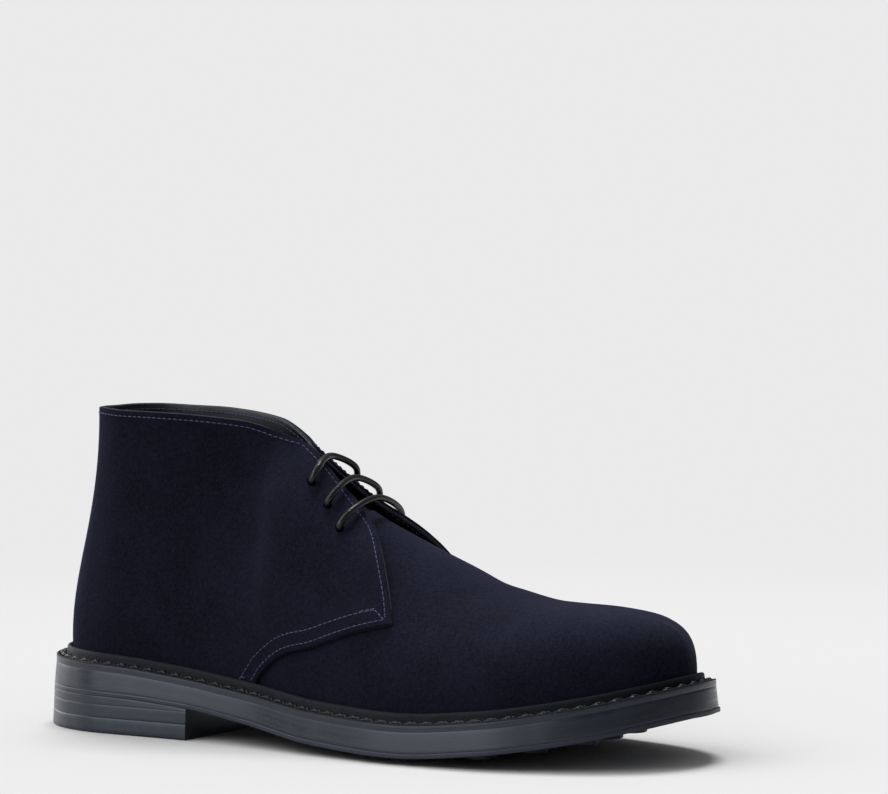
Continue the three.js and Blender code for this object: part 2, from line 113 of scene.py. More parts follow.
class MeridianRow(NamedTuple):
    """One meridian of the upper: its foot, its top end and the handles between them.

    Attributes:
        x: the station of its foot.
        inset: how far its foot is inside the sole's edge.
        top_x: the station of its top end.
        half: half the width between both top ends.
        top_z: the height of its top end over the floor.
        lie: 0 where it ends upright at the collar, 1 where it lies over the ridge.
        rise: its lower handle, as a part of its chord.
        reach: its upper handle, as a part of its chord.
        bulge: how far it swells outward over its foot.
    """

    x: float
    inset: float
    top_x: float
    half: float
    top_z: float
    lie: float
    rise: float
    reach: float
    bulge: float


class HeightRow(NamedTuple):
    """A height along the meridian of a station."""

    x: float
    height: float


class CreaseRow(NamedTuple):
    """A soft trough (depth above 0) or ridge (below 0) between two places of the upper.

    The places are stations in millimetres and heights, and the width is half of the crease's own.
    """

    side: int
    x_from: float
    height_from: float
    x_to: float
    height_to: float
    width: float
    depth: float


PLAN = (
    PlanRow(0, 0, 0),
    PlanRow(8, -21, 21),
    PlanRow(24, -32, 31.5),
    PlanRow(41, -36, 34),
    PlanRow(81, -37, 33),
    PlanRow(116, -40, 30),
    PlanRow(156, -48, 36),
    PlanRow(196, -53.5, 49),
    PlanRow(231, -51.5, 52),
    PlanRow(256, -44.5, 47.5),
    PlanRow(276, -35, 41),
    PlanRow(290, -24, 32),
    PlanRow(302, 4, 4),
)

PROFILE = (
    ProfileRow(0, 29.4, 15.4),
    ProfileRow(46, 28.2, 15),
    ProfileRow(81, 25.4, 13.2),
    ProfileRow(116, 21.4, 9.2),
    ProfileRow(156, 17, 4),
    ProfileRow(196, 15.6, 2.5),
    ProfileRow(231, 18.3, 5.2),
    ProfileRow(264, 23.4, 10),
    ProfileRow(288, 28.6, 15.3),
    ProfileRow(302, 32.2, 18.9),
)

MERIDIANS = (
    MeridianRow(0, 8.8, 25, 0, 132.5, 0, 0.34, 0.45, 3),
    MeridianRow(8, 8.8, 27, 11, 132.7, 0, 0.34, 0.45, 2.8),
    MeridianRow(24, 8.8, 34, 18.5, 132.6, 0, 0.34, 0.43, 2.3),
    MeridianRow(41, 8.8, 46, 22.5, 132, 0, 0.34, 0.4, 1.5),
    MeridianRow(60, 8.8, 62, 22.5, 131.6, 0, 0.34, 0.38, 1),
    MeridianRow(81, 8.8, 80, 18.5, 130.6, 0, 0.34, 0.36, 1),
    MeridianRow(100, 8.8, 97, 12.5, 128.6, 0.05, 0.35, 0.34, 1.5),
    MeridianRow(112, 8.8, 108, 8, 125.5, 0.2, 0.36, 0.32, 2),
    MeridianRow(120, 8.6, 116, 4, 121, 0.5, 0.37, 0.3, 2),
    MeridianRow(126, 8.2, 122, 0, 116, 0.8, 0.38, 0.28, 2),
    MeridianRow(138, 7.6, 135, 0, 104, 1, 0.4, 0.27, 2.5),
    MeridianRow(150, 7.6, 149, 0, 93, 1, 0.42, 0.28, 3),
    MeridianRow(166, 7.6, 166, 0, 84.5, 1, 0.44, 0.3, 2.6),
    MeridianRow(191, 7.6, 191, 0, 73.5, 1, 0.46, 0.32, 2.2),
    MeridianRow(212, 7.6, 212, 0, 65, 1, 0.49, 0.35, 1.8),
    MeridianRow(236, 7.6, 235, 0, 59.6, 1, 0.54, 0.42, 1.6),
    MeridianRow(264, 7.6, 258, 0, 58.6, 1, 0.57, 0.5, 1.5),
    MeridianRow(288, 7.6, 272, 0, 57.2, 1, 0.56, 0.54, 1.2),
    MeridianRow(302, 7.6, 277, 0, 56, 1, 0.56, 0.55, 1.2),
)

CENTRE_LINE = ((0, 0), (90, 0), (150, 2), (220, 4), (302, 4))

FREE_EDGE = (
    HeightRow(0, 1),
    HeightRow(104, 1),
    HeightRow(117, 0.985),
    HeightRow(129, 0.955),
    HeightRow(146, 0.9),
    HeightRow(160, 0.82),
    HeightRow(171, 0.68),
    HeightRow(180, 0.53),
    HeightRow(185, 0.41),
)

LOWER_SEAM = (
    HeightRow(0, 0),
    HeightRow(111, 0),
    HeightRow(121, 0.1),
    HeightRow(132, 0.17),
    HeightRow(147, 0.23),
    HeightRow(168, 0.33),
    HeightRow(185, 0.41),
)

VAMP_BACK = (HeightRow(104, 0), HeightRow(132, 0.4), HeightRow(146, 0.7), HeightRow(151, 1))

# How far the free front of a quarter stands off the vamp, by the distance behind a line from crest to corner.
FLAP_LIFT = ((0, 4), (25, 2.4), (60, 0))

CREASES = (
    CreaseRow(-1, 60, 0.62, 112, 0.3, 9, 0.7),
    CreaseRow(-1, 22, 0.5, 70, 0.78, 8, 0.45),
    CreaseRow(-1, 150, 0.5, 176, 0.36, 5, -0.35),
    CreaseRow(-1, 196, 0.28, 214, 1, 7, 0.55),
    CreaseRow(-1, 220, 0.4, 232, 0.95, 6, -0.3),
    CreaseRow(1, 60, 0.62, 118, 0.28, 9, 0.7),
    CreaseRow(1, 22, 0.5, 70, 0.78, 8, 0.45),
    CreaseRow(1, 190, 0.3, 212, 1, 7, 0.55),
    CreaseRow(1, 118, 0.2, 158, 0.5, 7, 0.5),
)


# ---------------------------------------------------------------------------
# Curves and the form of the last
# ---------------------------------------------------------------------------


class Curve:
    """A smooth curve through one column of a table, which never overshoots its rows."""

    def __init__(self, at: Sequence[float], value: Sequence[float]) -> None:
        """Finds the slope at each row.

        Args:
            at: where each row is, rising.
            value: the curve's value there.
        """
        self.at = np.asarray(at, float)
        self.value = np.asarray(value, float)
        rise = np.diff(self.value) / np.diff(self.at)
        before, after = rise[:-1], rise[1:]
        same_way = before * after > 0
        total = np.where(same_way, before + after, 1.0)
        inner = np.where(same_way, 2 * before * after / total, 0.0)
        self.slope = np.concatenate([rise[:1], inner, rise[-1:]])

    def __call__(self, x: Array) -> Array:
        """Returns the curve's value at x, which is held inside the table.

        Args:
            x: a number or an array.

        Returns:
            The value or values there.
        """
        here = np.clip(np.asarray(x, float), self.at[0], self.at[-1])
        row = np.clip(np.searchsorted(self.at, here) - 1, 0, len(self.at) - 2)
        span = self.at[row + 1] - self.at[row]
        t = (here - self.at[row]) / span
        ease = t * t * (3 - 2 * t)
        leaving = self.slope[row] * span * t * (1 - t) ** 2
        arriving = self.slope[row + 1] * span * t * t * (1 - t)
        return self.value[row] * (1 - ease) + self.value[row + 1] * ease + leaving - arriving


def smoothstep(x: Array, low: float, high: float) -> Array:
    """Returns 0 below low, 1 above high and a smooth rise between them."""
    t = np.clip((np.asarray(x, float) - low) / (high - low), 0, 1)
    return t * t * (3 - 2 * t)


def unit(vectors: Array) -> Array:
    """Returns the vectors, in the last axis, at length 1."""
    size = np.linalg.norm(vectors, axis=-1, keepdims=True)
    return vectors / np.maximum(size, TINY)


def run_length(path: Array) -> Array:
    """Returns the distance along a path to each of its points."""
    return np.concatenate([[0], np.cumsum(np.linalg.norm(np.diff(path, axis=0), axis=-1))])


def raised(xy: Array, z: Array) -> Array:
    """Returns points (x, y, z) from points (x, y) and their heights."""
    return np.concatenate([xy, z[..., None]], -1)


@dataclass
class Last:
    """The boot's own form.

    A signed turn goes from -1 (toe) by the outer side to 0 (heel) and by the inner side to 1 (toe) again.
    A height goes from 0 at the sole to 1 at the collar or the ridge.
    """

    length: float = 302.0
    welt_thickness: float = 3.0
    foot_gap: float = 0.35
    plan_step: float = 0.004
    normal_step: float = 0.012
    crease_scale: float = 100.0
    crease_taper: Pair = (0.15, 0.85)
    crease_start: float = 0.05
    crest: float = 129.0
    corner: float = 185.0
    free_from: float = 0.42
    free_above: float = 0.72
    quarter_proud: float = 1.6
    inner_lift: Pair = (0.4, 1.0)
    inner_lift_span: Pair = (130.0, 158.0)

    def __post_init__(self) -> None:
        """Makes the curves through the tables."""
        turns = [self.turn_at(row.x) for row in PLAN]
        self.lateral = Curve(turns, [row.lateral for row in PLAN])
        self.medial = Curve(turns, [row.medial for row in PLAN])
        stations = [row.x for row in PROFILE]
        self.edge_height = Curve(stations, [row.edge for row in PROFILE])
        self.under_height = Curve(stations, [row.under for row in PROFILE])
        self.centre_line = Curve(*zip(*CENTRE_LINE))
        starts = [self.turn_at(row.x) for row in MERIDIANS]
        self.meridian = {
            name: Curve(starts, [getattr(row, name) for row in MERIDIANS]) for name in MeridianRow._fields[1:]
        }
        self.free_height = Curve([row.x for row in FREE_EDGE], [row.height for row in FREE_EDGE])
        self.seam_height = Curve([row.x for row in LOWER_SEAM], [row.height for row in LOWER_SEAM])
        self.vamp_back = Curve([row.height for row in VAMP_BACK], [row.x for row in VAMP_BACK])
        self.flap_lift = Curve(*zip(*FLAP_LIFT))

    def turn_at(self, x: Array) -> Array:
        """Returns the unsigned turn of a station: even turns are even steps round both ends."""
        return np.arccos(np.clip(1 - 2 * np.asarray(x, float) / self.length, -1, 1)) / math.pi

    def station_at(self, turn: Array) -> Array:
        """Returns the station of a turn of either sign."""
        return self.length * (1 - np.cos(math.pi * np.asarray(turn, float))) / 2

    def wrapped(self, turn: Array) -> Array:
        """Returns a signed turn brought back between -1 and 1."""
        turn = np.asarray(turn, float)
        return np.where(turn > 1, turn - 2, np.where(turn < -1, turn + 2, turn))

    def outline(self, turn: Array) -> Array:
        """Returns points (x, y) of the sole's edge at signed turns.

        Args:
            turn: signed turns.

        Returns:
            One point for each turn.
        """
        turn = self.wrapped(turn)
        size = np.abs(turn)
        y = np.where(turn < 0, self.lateral(size), self.medial(size))
        return np.stack([self.station_at(turn), y], -1)

    def plan(self, turn: Array, inset: Array) -> Array:
        """Returns points (x, y) of the outline moved inward.

        Args:
            turn: signed turns.
            inset: the distance inward, less than 0 for outward.

        Returns:
            One point for each turn.
        """
        turn = np.asarray(turn, float)
        along = unit(self.outline(turn + self.plan_step) - self.outline(turn - self.plan_step))
        inward = np.stack([along[..., 1], -along[..., 0]], -1)
        return self.outline(turn) + inward * np.asarray(inset, float)[..., None]

    def top(self, turn: Array) -> Array:
        """Returns the top end of each turn's meridian.

        Args:
            turn: signed turns.

        Returns:
            Points (x, y, z) in millimetres.
        """
        turn = self.wrapped(turn)
        size = np.abs(turn)
        x = self.meridian["top_x"](size)
        y = self.centre_line(x) + np.sign(turn) * self.meridian["half"](size)
        return np.stack([x, y, self.meridian["top_z"](size)], -1)

    def form(self, turn: Array, height: Array) -> Array:
        """Returns points of the upper's form.

        Args:
            turn: signed turns.
            height: heights of the same shape.

        Returns:
            Points (x, y, z) in millimetres.
        """
        turn, height = np.broadcast_arrays(self.wrapped(turn), np.asarray(height, float))
        size = np.abs(turn)
        foot_xy = self.plan(turn, self.meridian["inset"](size))
        foot_z = self.edge_height(foot_xy[..., 0]) - self.welt_thickness + self.foot_gap
        foot = raised(foot_xy, foot_z)
        top = self.top(turn)
        chord = np.linalg.norm(foot - top, axis=-1)
        outward = unit(self.plan(turn, np.zeros_like(size)) - foot_xy)
        low = foot.copy()
        low[..., 2] += chord * self.meridian["rise"](size)
        low[..., :2] += outward * self.meridian["bulge"](size)[..., None]
        ahead = self.top(np.clip(size + self.plan_step, 0, 1))
        ridge = ahead - self.top(size - self.plan_step)
        flat = np.abs(ridge[..., 0]) < 1e-6
        fall = np.where(flat, 0, ridge[..., 2] / np.where(flat, 1, ridge[..., 0]))
        away = unit(foot[..., :2] - top[..., :2])
        across = unit(raised(away, away[..., 0] * fall))
        lie = self.meridian["lie"](size)[..., None]
        handle = unit(-UP * (1 - lie) + across * lie)
        high = top + handle * (chord * self.meridian["reach"](size))[..., None]
        t = height[..., None]
        return foot * (1 - t) ** 3 + low * 3 * t * (1 - t) ** 2 + high * 3 * t * t * (1 - t) + top * t ** 3

    def normal(self, turn: Array, height: Array) -> Array:
        """Returns the outward unit normals of the form at signed turns and heights.

        Args:
            turn: signed turns.
            height: heights of the same shape.

        Returns:
            One unit vector for each place.
        """
        turn, height = np.broadcast_arrays(np.asarray(turn, float), np.asarray(height, float))
        step = self.normal_step
        near_tip = 1 - 2 * step
        turn = np.clip(turn, -near_tip, near_tip)
        low = np.maximum(height - step, 0)
        high = np.minimum(height + step, 1)
        mid = (low + high) / 2
        along = self.form(turn + step, mid) - self.form(turn - step, mid)
        up = self.form(turn, high) - self.form(turn, low)
        return unit(-np.cross(along, up))

    def creased(self, turn: Array, height: Array) -> Array:
        """Returns how deep the soft creases are at each place, in millimetres.

        Args:
            turn: signed turns.
            height: heights of the same shape.

        Returns:
            The depths; a ridge is below 0.
        """
        turn, height = np.broadcast_arrays(np.asarray(turn, float), np.asarray(height, float))
        scale = self.crease_scale
        first, final = self.crease_taper
        place = np.stack([self.station_at(turn), height * scale], -1)
        depth = np.zeros(turn.shape)
        for row in CREASES:
            start = np.array([row.x_from, row.height_from * scale])
            end = np.array([row.x_to, row.height_to * scale])
            run = end - start
            t = np.clip(((place - start) @ run) / (run @ run), 0, 1)
            distance = np.linalg.norm(place - start - t[..., None] * run, axis=-1)
            taper = np.sin(math.pi * (first + (final - first) * t))
            on_side = smoothstep(turn * row.side, 0.0, self.crease_start)
            depth += row.depth * np.exp(-((distance / row.width) ** 2)) * taper * on_side
        return depth

    def surface(self, turn: Array, height: Array, offset: Array) -> Array:
        """Returns points at an offset from the creased form.

        Args:
            turn: signed turns.
            height: heights of the same shape.
            offset: how far out, in millimetres.

        Returns:
            Points (x, y, z) in millimetres.
        """
        turn, height = np.broadcast_arrays(np.asarray(turn, float), np.asarray(height, float))
        out = np.asarray(offset, float) - self.creased(turn, height)
        return self.form(turn, height) + self.normal(turn, height) * out[..., None]

    def quarter_lift(self, turn: Array, height: Array) -> Array:
        """Returns how far the quarters' free fronts stand off the vamp.

        Args:
            turn: signed turns.
            height: heights of the same shape.

        Returns:
            The distances, in millimetres.
        """
        x = self.station_at(turn)
        low, high = self.free_height(self.corner), self.free_height(self.crest)
        line = self.corner + (self.crest - self.corner) * (height - low) / (high - low)
        free = smoothstep(height, self.free_from, self.free_above)
        forward = smoothstep(x, *self.inner_lift_span)
        back, front = self.inner_lift
        share = np.where(np.asarray(turn) > 0, back + (front - back) * forward, 1.0)
        return self.flap_lift(line - x) * free * share

    def quarter(self, turn: Array, height: Array, depth: Array) -> Array:
        """Returns points of the quarters' wall, at a depth below their outer face.

        Args:
            turn: signed turns.
            height: heights of the same shape.
            depth: how deep, in millimetres.

        Returns:
            Points (x, y, z) in millimetres.
        """
        turn, height = np.broadcast_arrays(np.asarray(turn, float), np.asarray(height, float))
        offset = self.quarter_proud + self.quarter_lift(turn, height) - np.asarray(depth, float)
        return self.surface(turn, height, offset)


# ---------------------------------------------------------------------------
# Meshes
# ---------------------------------------------------------------------------


@dataclass
class Placement:
    """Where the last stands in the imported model's frame."""

    shift: Array
    lip: ClassVar[float] = 1.6
    stations: ClassVar[int] = 36

    @classmethod
    def from_frame(cls, last: Last) -> "Placement":
        """Finds the shift that puts the last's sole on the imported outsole.

        Args:
            last: the boot's form.

        Returns:
            The placement, in metres.
        """
        turns = (np.arange(cls.stations) + 0.5) / cls.stations
        edge = last.plan(np.concatenate([-turns, turns]), np.full(2 * cls.stations, -cls.lip))
        low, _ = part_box("outsole")
        own = edge.min(axis=0) * METRE_PER_MM
        return cls(np.array([low[0] - own[0], low[1] - own[1], 0.0]))

    def metres(self, points: Array) -> Array:
        """Returns points of the last in metres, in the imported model's frame."""
        return np.asarray(points, float) * METRE_PER_MM + self.shift


@dataclass
class Draft:
    """Points, faces and surface coordinates of one piece while it is being made."""

    points: list[Array] = field(default_factory=list)
    faces: list[Array] = field(default_factory=list)
    runs: list[Array] = field(default_factory=list)
    count: int = 0

    def add(self, points: Array, faces: Array, run: Optional[Array] = None) -> None:
        """Adds points with the faces between them.

        Args:
            points: (n, 3) in millimetres.
            faces: (m, 4) indices into the points; a triangle repeats its last one.
            run: (n, 2) coordinates along and across the surface, in millimetres.
        """
        self.points.append(points)
        self.faces.append(faces + self.count)
        self.runs.append(np.zeros((len(points), 2)) if run is None else run)
        self.count += len(points)

    def add_grid(self, grid: Array, close_rows: bool = False, close_columns: bool = False,
                 run: Optional[Array] = None) -> None:
        """Adds a grid of points as a sheet, a tube or a ring.

        Args:
            grid: (columns, rows, 3) points.
            close_rows: the last row meets the first.
            close_columns: the last column meets the first.
            run: (columns, rows, 2) surface coordinates.
        """
        columns, rows = grid.shape[:2]
        i = np.arange(columns if close_columns else columns - 1)
        j = np.arange(rows if close_rows else rows - 1)
        i, j = [a.ravel() for a in np.meshgrid(i, j, indexing="ij")]
        i_next, j_next = (i + 1) % columns, (j + 1) % rows
        faces = np.stack([i * rows + j, i_next * rows + j, i_next * rows + j_next, i * rows + j_next], -1)
        flat = None if run is None else run.reshape(-1, 2)
        self.add(grid.reshape(-1, 3), faces, flat)

    def add_tube(self, path: Array, radius: Array, sides: int, squash: float = 1.0,
                 up: Optional[Array] = None) -> None:
        """Adds a tube with closed round ends along a path.

        Args:
            path: (n, 3) points.
            radius: one radius, or one for each point.
            sides: corners of its section.
            squash: its thickness across `up`, as a part of its width.
            up: (n, 3) or (3,) direction that the flat of the section faces.
        """
        count = len(path)
        radius = np.broadcast_to(np.asarray(radius, float), (count,))
        ahead = unit(np.gradient(path, axis=0))
        if up is None:
            up = transported(ahead)
        up = unit(np.broadcast_to(up, (count, 3)) - ahead * np.sum(ahead * up, -1, keepdims=True))
        wide = np.cross(ahead, up)
        angle = np.linspace(0, 2 * math.pi, sides, endpoint=False)
        ring = (
            np.cos(angle)[None, :, None] * wide[:, None, :]
            + squash * np.sin(angle)[None, :, None] * up[:, None, :]
        )
        grid = path[:, None, :] + ring * radius[:, None, None]
        run = np.stack(np.broadcast_arrays(run_length(path)[:, None], (angle * radius.max())[None, :]), -1)
        self.add_grid(grid, close_rows=True, run=run)
        for end, step in ((0, 1), (count - 1, -1)):
            tip = path[end] - ahead[end] * step * radius[end] * TUBE_END
            fan = np.arange(sides)
            other = (fan + 1) % sides
            centre = np.full(sides, sides)
            faces = np.stack([fan, other, centre, centre], -1)
            self.add(np.concatenate([grid[end], tip[None]]), faces if step < 0 else faces[:, ::-1],
                     np.concatenate([run[end], run[end][:1]]))

    def add_shell(self, outer: Array, inner: Array) -> None:
        """Adds two grids of the same shape and the four edges between them.

        Args:
            outer: (columns, rows, 3) points of one face.
            inner: (columns, rows, 3) points of the other.
        """
        self.add_grid(outer)
        self.add_grid(inner)
        whole = slice(None)
        for edge in ((0, whole), (-1, whole), (whole, 0), (whole, -1)):
            self.add_grid(np.stack([outer[edge], inner[edge]], 1))

    def make(self, name: str, placement: Placement, material: Material, merge: float = 1e-6,
             sharp_degrees: float = 40.0) -> Piece:
        """Makes the object.

        Args:
            name: the piece's name.
            placement: where the last stands.
            material: its finish.
            merge: points nearer than this are joined, in metres.
            sharp_degrees: edges that bend more than this stay sharp.

        Returns:
            The new object, in the scene.
        """
        points = placement.metres(np.concatenate(self.points))
        faces = [tuple(dict.fromkeys(face)) for face in np.concatenate(self.faces).tolist()]
        mesh = bpy.data.meshes.new(name)
        mesh.from_pydata(points.tolist(), [], [face for face in faces if len(face) > 2])
        layer = mesh.uv_layers.new(name="run")
        corner = np.empty(len(mesh.loops), np.int32)
        mesh.loops.foreach_get("vertex_index", corner)
        run = np.concatenate(self.runs) * METRE_PER_MM
        layer.uv.foreach_set("vector", run[corner].astype(np.float32).ravel())
        work = bmesh.new()
        work.from_mesh(mesh)
        bmesh.ops.remove_doubles(work, verts=work.verts, dist=merge)
        bmesh.ops.dissolve_degenerate(work, edges=work.edges, dist=merge)
        bmesh.ops.recalc_face_normals(work, faces=work.faces)
        work.to_mesh(mesh)
        work.free()
        mesh.polygons.foreach_set("use_smooth", np.ones(len(mesh.polygons), bool))
        mesh.set_sharp_from_angle(angle=math.radians(sharp_degrees))
        mesh.materials.append(material)
        obj = bpy.data.objects.new(name, mesh)
        bpy.context.scene.collection.objects.link(obj)
        return obj


def transported(ahead: Array) -> Array:
    """Returns directions across a path that turn with it as little as they can.

    Args:
        ahead: (n, 3) unit directions along the path.

    Returns:
        (n, 3) unit directions.
    """
    steep = abs(ahead[0][2]) >= 0.9
    start = np.array([0, 1.0, 0]) if steep else UP
    across = [unit(start - ahead[0] * (ahead[0] @ start))]
    for direction in ahead[1:]:
        turned = across[-1] - direction * (direction @ across[-1])
        across.append(unit(turned))
    return np.array(across)


def smooth_path(points: Sequence[Array], steps: int) -> Array:
    """Returns a smooth path through points, evenly spaced along its length.

    Args:
        points: the places it passes.
        steps: how many points come back.

    Returns:
        (steps, 3) points.
    """
    knots = np.array(points, float)
    padded = np.concatenate([[2 * knots[0] - knots[1]], knots, [2 * knots[-1] - knots[-2]]])
    fine = []
    for a, b, c, d in zip(padded, padded[1:], padded[2:], padded[3:]):
        t1 = np.linalg.norm(b - a) ** 0.5
        t2 = t1 + np.linalg.norm(c - b) ** 0.5
        t3 = t2 + np.linalg.norm(d - c) ** 0.5
        for t in np.linspace(t1, t2, KNOT_STEPS, endpoint=False):
            ab = (a * (t1 - t) + b * t) / t1
            bc = (b * (t2 - t) + c * (t - t1)) / (t2 - t1)
            cd = (c * (t3 - t) + d * (t - t2)) / (t3 - t2)
            abc = (ab * (t2 - t) + bc * t) / t2
            bcd = (bc * (t3 - t) + cd * (t - t1)) / (t3 - t1)
            fine.append((abc * (t2 - t) + bcd * (t - t1)) / (t2 - t1))
    fine.append(knots[-1])
    return resampled(np.array(fine), steps)


def resampled(path: Array, steps: int) -> Array:
    """Returns a path as that many points, evenly spaced along its length.

    Args:
        path: (n, 3) points.
        steps: how many points come back.

    Returns:
        (steps, 3) points.
    """
    length = run_length(path)
    at = np.linspace(0, length[-1], steps)
    return np.stack([np.interp(at, length, path[:, k]) for k in range(path.shape[1])], -1)


# ---------------------------------------------------------------------------
# Finishes
# ---------------------------------------------------------------------------


@dataclass
class Nodes:
    """A short way to place and join shader nodes."""

    tree: Tree

    def add(self, kind: str, values: Optional[dict] = None, **settings: object) -> Node:
        """Places a node.

        Args:
            kind: the node's type.
            values: input names or numbers, with a value or an output socket for each.
            settings: the node's own settings.

        Returns:
            The node.
        """
        node = self.tree.nodes.new(kind)
        for name, setting in settings.items():
            setattr(node, name, setting)
        self.feed(node, values or {})
        return node

    def feed(self, node: Node, values: dict) -> None:
        """Gives a node's inputs their values.

        Args:
            node: the node.
            values: input names or numbers, with a value or an output socket for each.
        """
        for name, value in values.items():
            self.give(node.inputs[name], value)

    def give(self, socket: Socket, value: object) -> None:
        """Joins an input to an output socket, or sets its value; a colour may leave out its alpha.

        Args:
            socket: the input.
            value: an output socket, a number, a vector or a colour.
        """
        if isinstance(value, Socket):
            self.tree.links.new(value, socket)
        elif socket.type == "RGBA" and len(value) == 3:
            socket.default_value = (*value, 1.0)
        else:
            socket.default_value = value

    def math(self, operation: str, a: object, b: object = 0.0, clamp: bool = False) -> Socket:
        """Returns the output of a math node."""
        node = self.add("ShaderNodeMath", {0: a, 1: b}, operation=operation, use_clamp=clamp)
        return node.outputs[0]

    def mixed(self, factor: object, a: object, b: object) -> Socket:
        """Returns a colour between two.

        Args:
            factor: 0 for the first and 1 for the second.
            a: the first colour.
            b: the second colour.

        Returns:
            The colour's socket.
        """
        node = self.add("ShaderNodeMix", {"Factor": factor}, data_type="RGBA")
        for name, value in (("A", a), ("B", b)):
            self.give(next(s for s in node.inputs if s.name == name and s.type == "RGBA"), value)
        return next(s for s in node.outputs if s.type == "RGBA")

    def summed(self, *values: object, clamp: bool = False) -> Socket:
        """Returns the sum of two or more values.

        Args:
            values: numbers or output sockets.
            clamp: each sum is kept between 0 and 1.

        Returns:
            The sum's socket.
        """
        total = values[0]
        for value in values[1:]:
            total = self.math("ADD", total, value, clamp)
        return total

    def noise(self, place: Socket, scale: object, **values: float) -> Socket:
        """Returns a noise over a place, with the rest of its inputs by name."""
        given = {name.capitalize(): value for name, value in values.items()}
        return self.add("ShaderNodeTexNoise", {"Vector": place, "Scale": scale, **given}).outputs["Fac"]

    def bump(self, height: Socket, strength: float, distance: float) -> Socket:
        """Returns the normal of a surface with a height on it."""
        node = self.add("ShaderNodeBump", {"Height": height, "Strength": strength, "Distance": distance})
        return node.outputs["Normal"]

    def ranged(self, value: object, low: float, high: float, to_low: float = 0.0,
               to_high: float = 1.0) -> Socket:
        """Returns a value moved smoothly from one range to another.

        Args:
            value: the value.
            low: where the first range starts.
            high: where it ends.
            to_low: what the start becomes.
            to_high: what the end becomes.

        Returns:
            The new value's socket.
        """
        node = self.add("ShaderNodeMapRange", {"Value": value, "From Min": low, "From Max": high,
                                               "To Min": to_low, "To Max": to_high},
                        interpolation_type="SMOOTHSTEP")
        return node.outputs["Result"]


class Group(Enum):
    """Effects that several finishes share."""

    NAP = "nap"
    GRAIN = "grain"
    TWIST = "twist"


def new_group(name: str, inputs: dict[str, float]) -> tuple[Tree, Nodes, Node]:
    """Starts a shader group with float inputs and the outputs Shade and Height.

    Args:
        name: the group's name.
        inputs: each input's name and usual value.

    Returns:
        The tree, a Nodes over it, and its input node.
    """
    tree = bpy.data.node_groups.new(name, "ShaderNodeTree")
    for label, value in inputs.items():
        socket = tree.interface.new_socket(name=label, in_out="INPUT", socket_type="NodeSocketFloat")
        socket.default_value = value
    for label in ("Shade", "Height"):
        tree.interface.new_socket(name=label, in_out="OUTPUT", socket_type="NodeSocketFloat")
    nodes = Nodes(tree)
    return tree, nodes, nodes.add("NodeGroupInput")


def nap_group() -> Tree:
    """Builds the short brushed nap of suede: fine fibres, soft brushed patches and a few pale specks.

    Returns:
        The group.
    """
    middle, speck_range = (0.3, 0.7), (0.63, 0.74)
    fibre_share, coarse_share, patch_share, speck_share = 0.5, 0.18, (0.05, 0.2), 0.7
    fibre_height, coarse_height, coarser = 0.6, 0.8, 0.3
    tree, nodes, given = new_group(Group.NAP.value, {"Fibre": 1900.0, "Patch": 38.0, "Contrast": 1.0})
    scale = given.outputs["Fibre"]
    place = nodes.add("ShaderNodeTexCoord").outputs["Object"]
    fibre = nodes.noise(place, scale, detail=4.0, roughness=0.65, distortion=0.4)
    coarse = nodes.noise(place, nodes.math("MULTIPLY", scale, coarser), detail=3.0, roughness=0.6)
    patch = nodes.noise(place, given.outputs["Patch"], detail=2.0, roughness=0.45, distortion=0.5)
    lit = nodes.summed(
        nodes.ranged(fibre, *middle, 0.0, fibre_share),
        nodes.ranged(coarse, *middle, 0.0, coarse_share),
        nodes.ranged(patch, *middle, *patch_share),
        nodes.math("MULTIPLY", nodes.ranged(fibre, *speck_range), speck_share),
    )
    centred = nodes.math("SUBTRACT", lit, 0.5)
    shade = nodes.summed(nodes.math("MULTIPLY", centred, given.outputs["Contrast"]), 0.5, clamp=True)
    height = nodes.summed(
        nodes.math("MULTIPLY", fibre, fibre_height), nodes.math("MULTIPLY", coarse, coarse_height)
    )
    nodes.add("NodeGroupOutput", {"Shade": shade, "Height": height})
    return tree


def grain_group() -> Tree:
    """Builds leather grain: small cells with soft creases between them.

    Returns:
        The group.
    """
    crease_width, crease_share, worn_range, cloud_scale = 0.25, 0.35, (0.4, 0.7), 90.0
    tree, nodes, given = new_group(Group.GRAIN.value, {"Cells": 1100.0, "Wear": 0.5})
    place = nodes.add("ShaderNodeTexCoord").outputs["Object"]
    cells = nodes.add("ShaderNodeTexVoronoi", {"Vector": place, "Scale": given.outputs["Cells"],
                                               "Randomness": 0.9}, feature="DISTANCE_TO_EDGE")
    creases = nodes.ranged(cells.outputs["Distance"], 0.0, crease_width)
    cloud = nodes.noise(place, cloud_scale, detail=5.0, roughness=0.6)
    worn = nodes.math("MULTIPLY", nodes.ranged(cloud, *worn_range), given.outputs["Wear"])
    shade = nodes.summed(nodes.math("MULTIPLY", creases, crease_share), worn, clamp=True)
    nodes.add("NodeGroupOutput", {"Shade": shade, "Height": creases})
    return tree


def twist_group() -> Tree:
    """Builds the twist of thread or cord, along the piece's own run coordinates; its Shade follows the
    twist's relief, for painted shade in the grooves and a painted highlight on the ridges.

    Returns:
        The group.
    """
    tree, nodes, given = new_group(Group.TWIST.value, {"Turns": 1400.0, "Lean": 1.0})
    run = nodes.add("ShaderNodeUVMap", uv_map="run").outputs["UV"]
    split = nodes.add("ShaderNodeSeparateXYZ", {"Vector": run})
    across = nodes.math("MULTIPLY", split.outputs["Y"], given.outputs["Lean"])
    along = nodes.summed(split.outputs["X"], across)
    wave = nodes.math("SINE", nodes.math("MULTIPLY", along, given.outputs["Turns"]))
    height = nodes.summed(nodes.math("MULTIPLY", wave, 0.5), 0.5)
    # Shade is the relief itself: it paints shade into the grooves and a highlight onto the ridges.
    nodes.add("NodeGroupOutput", {"Shade": height, "Height": height})
    return tree


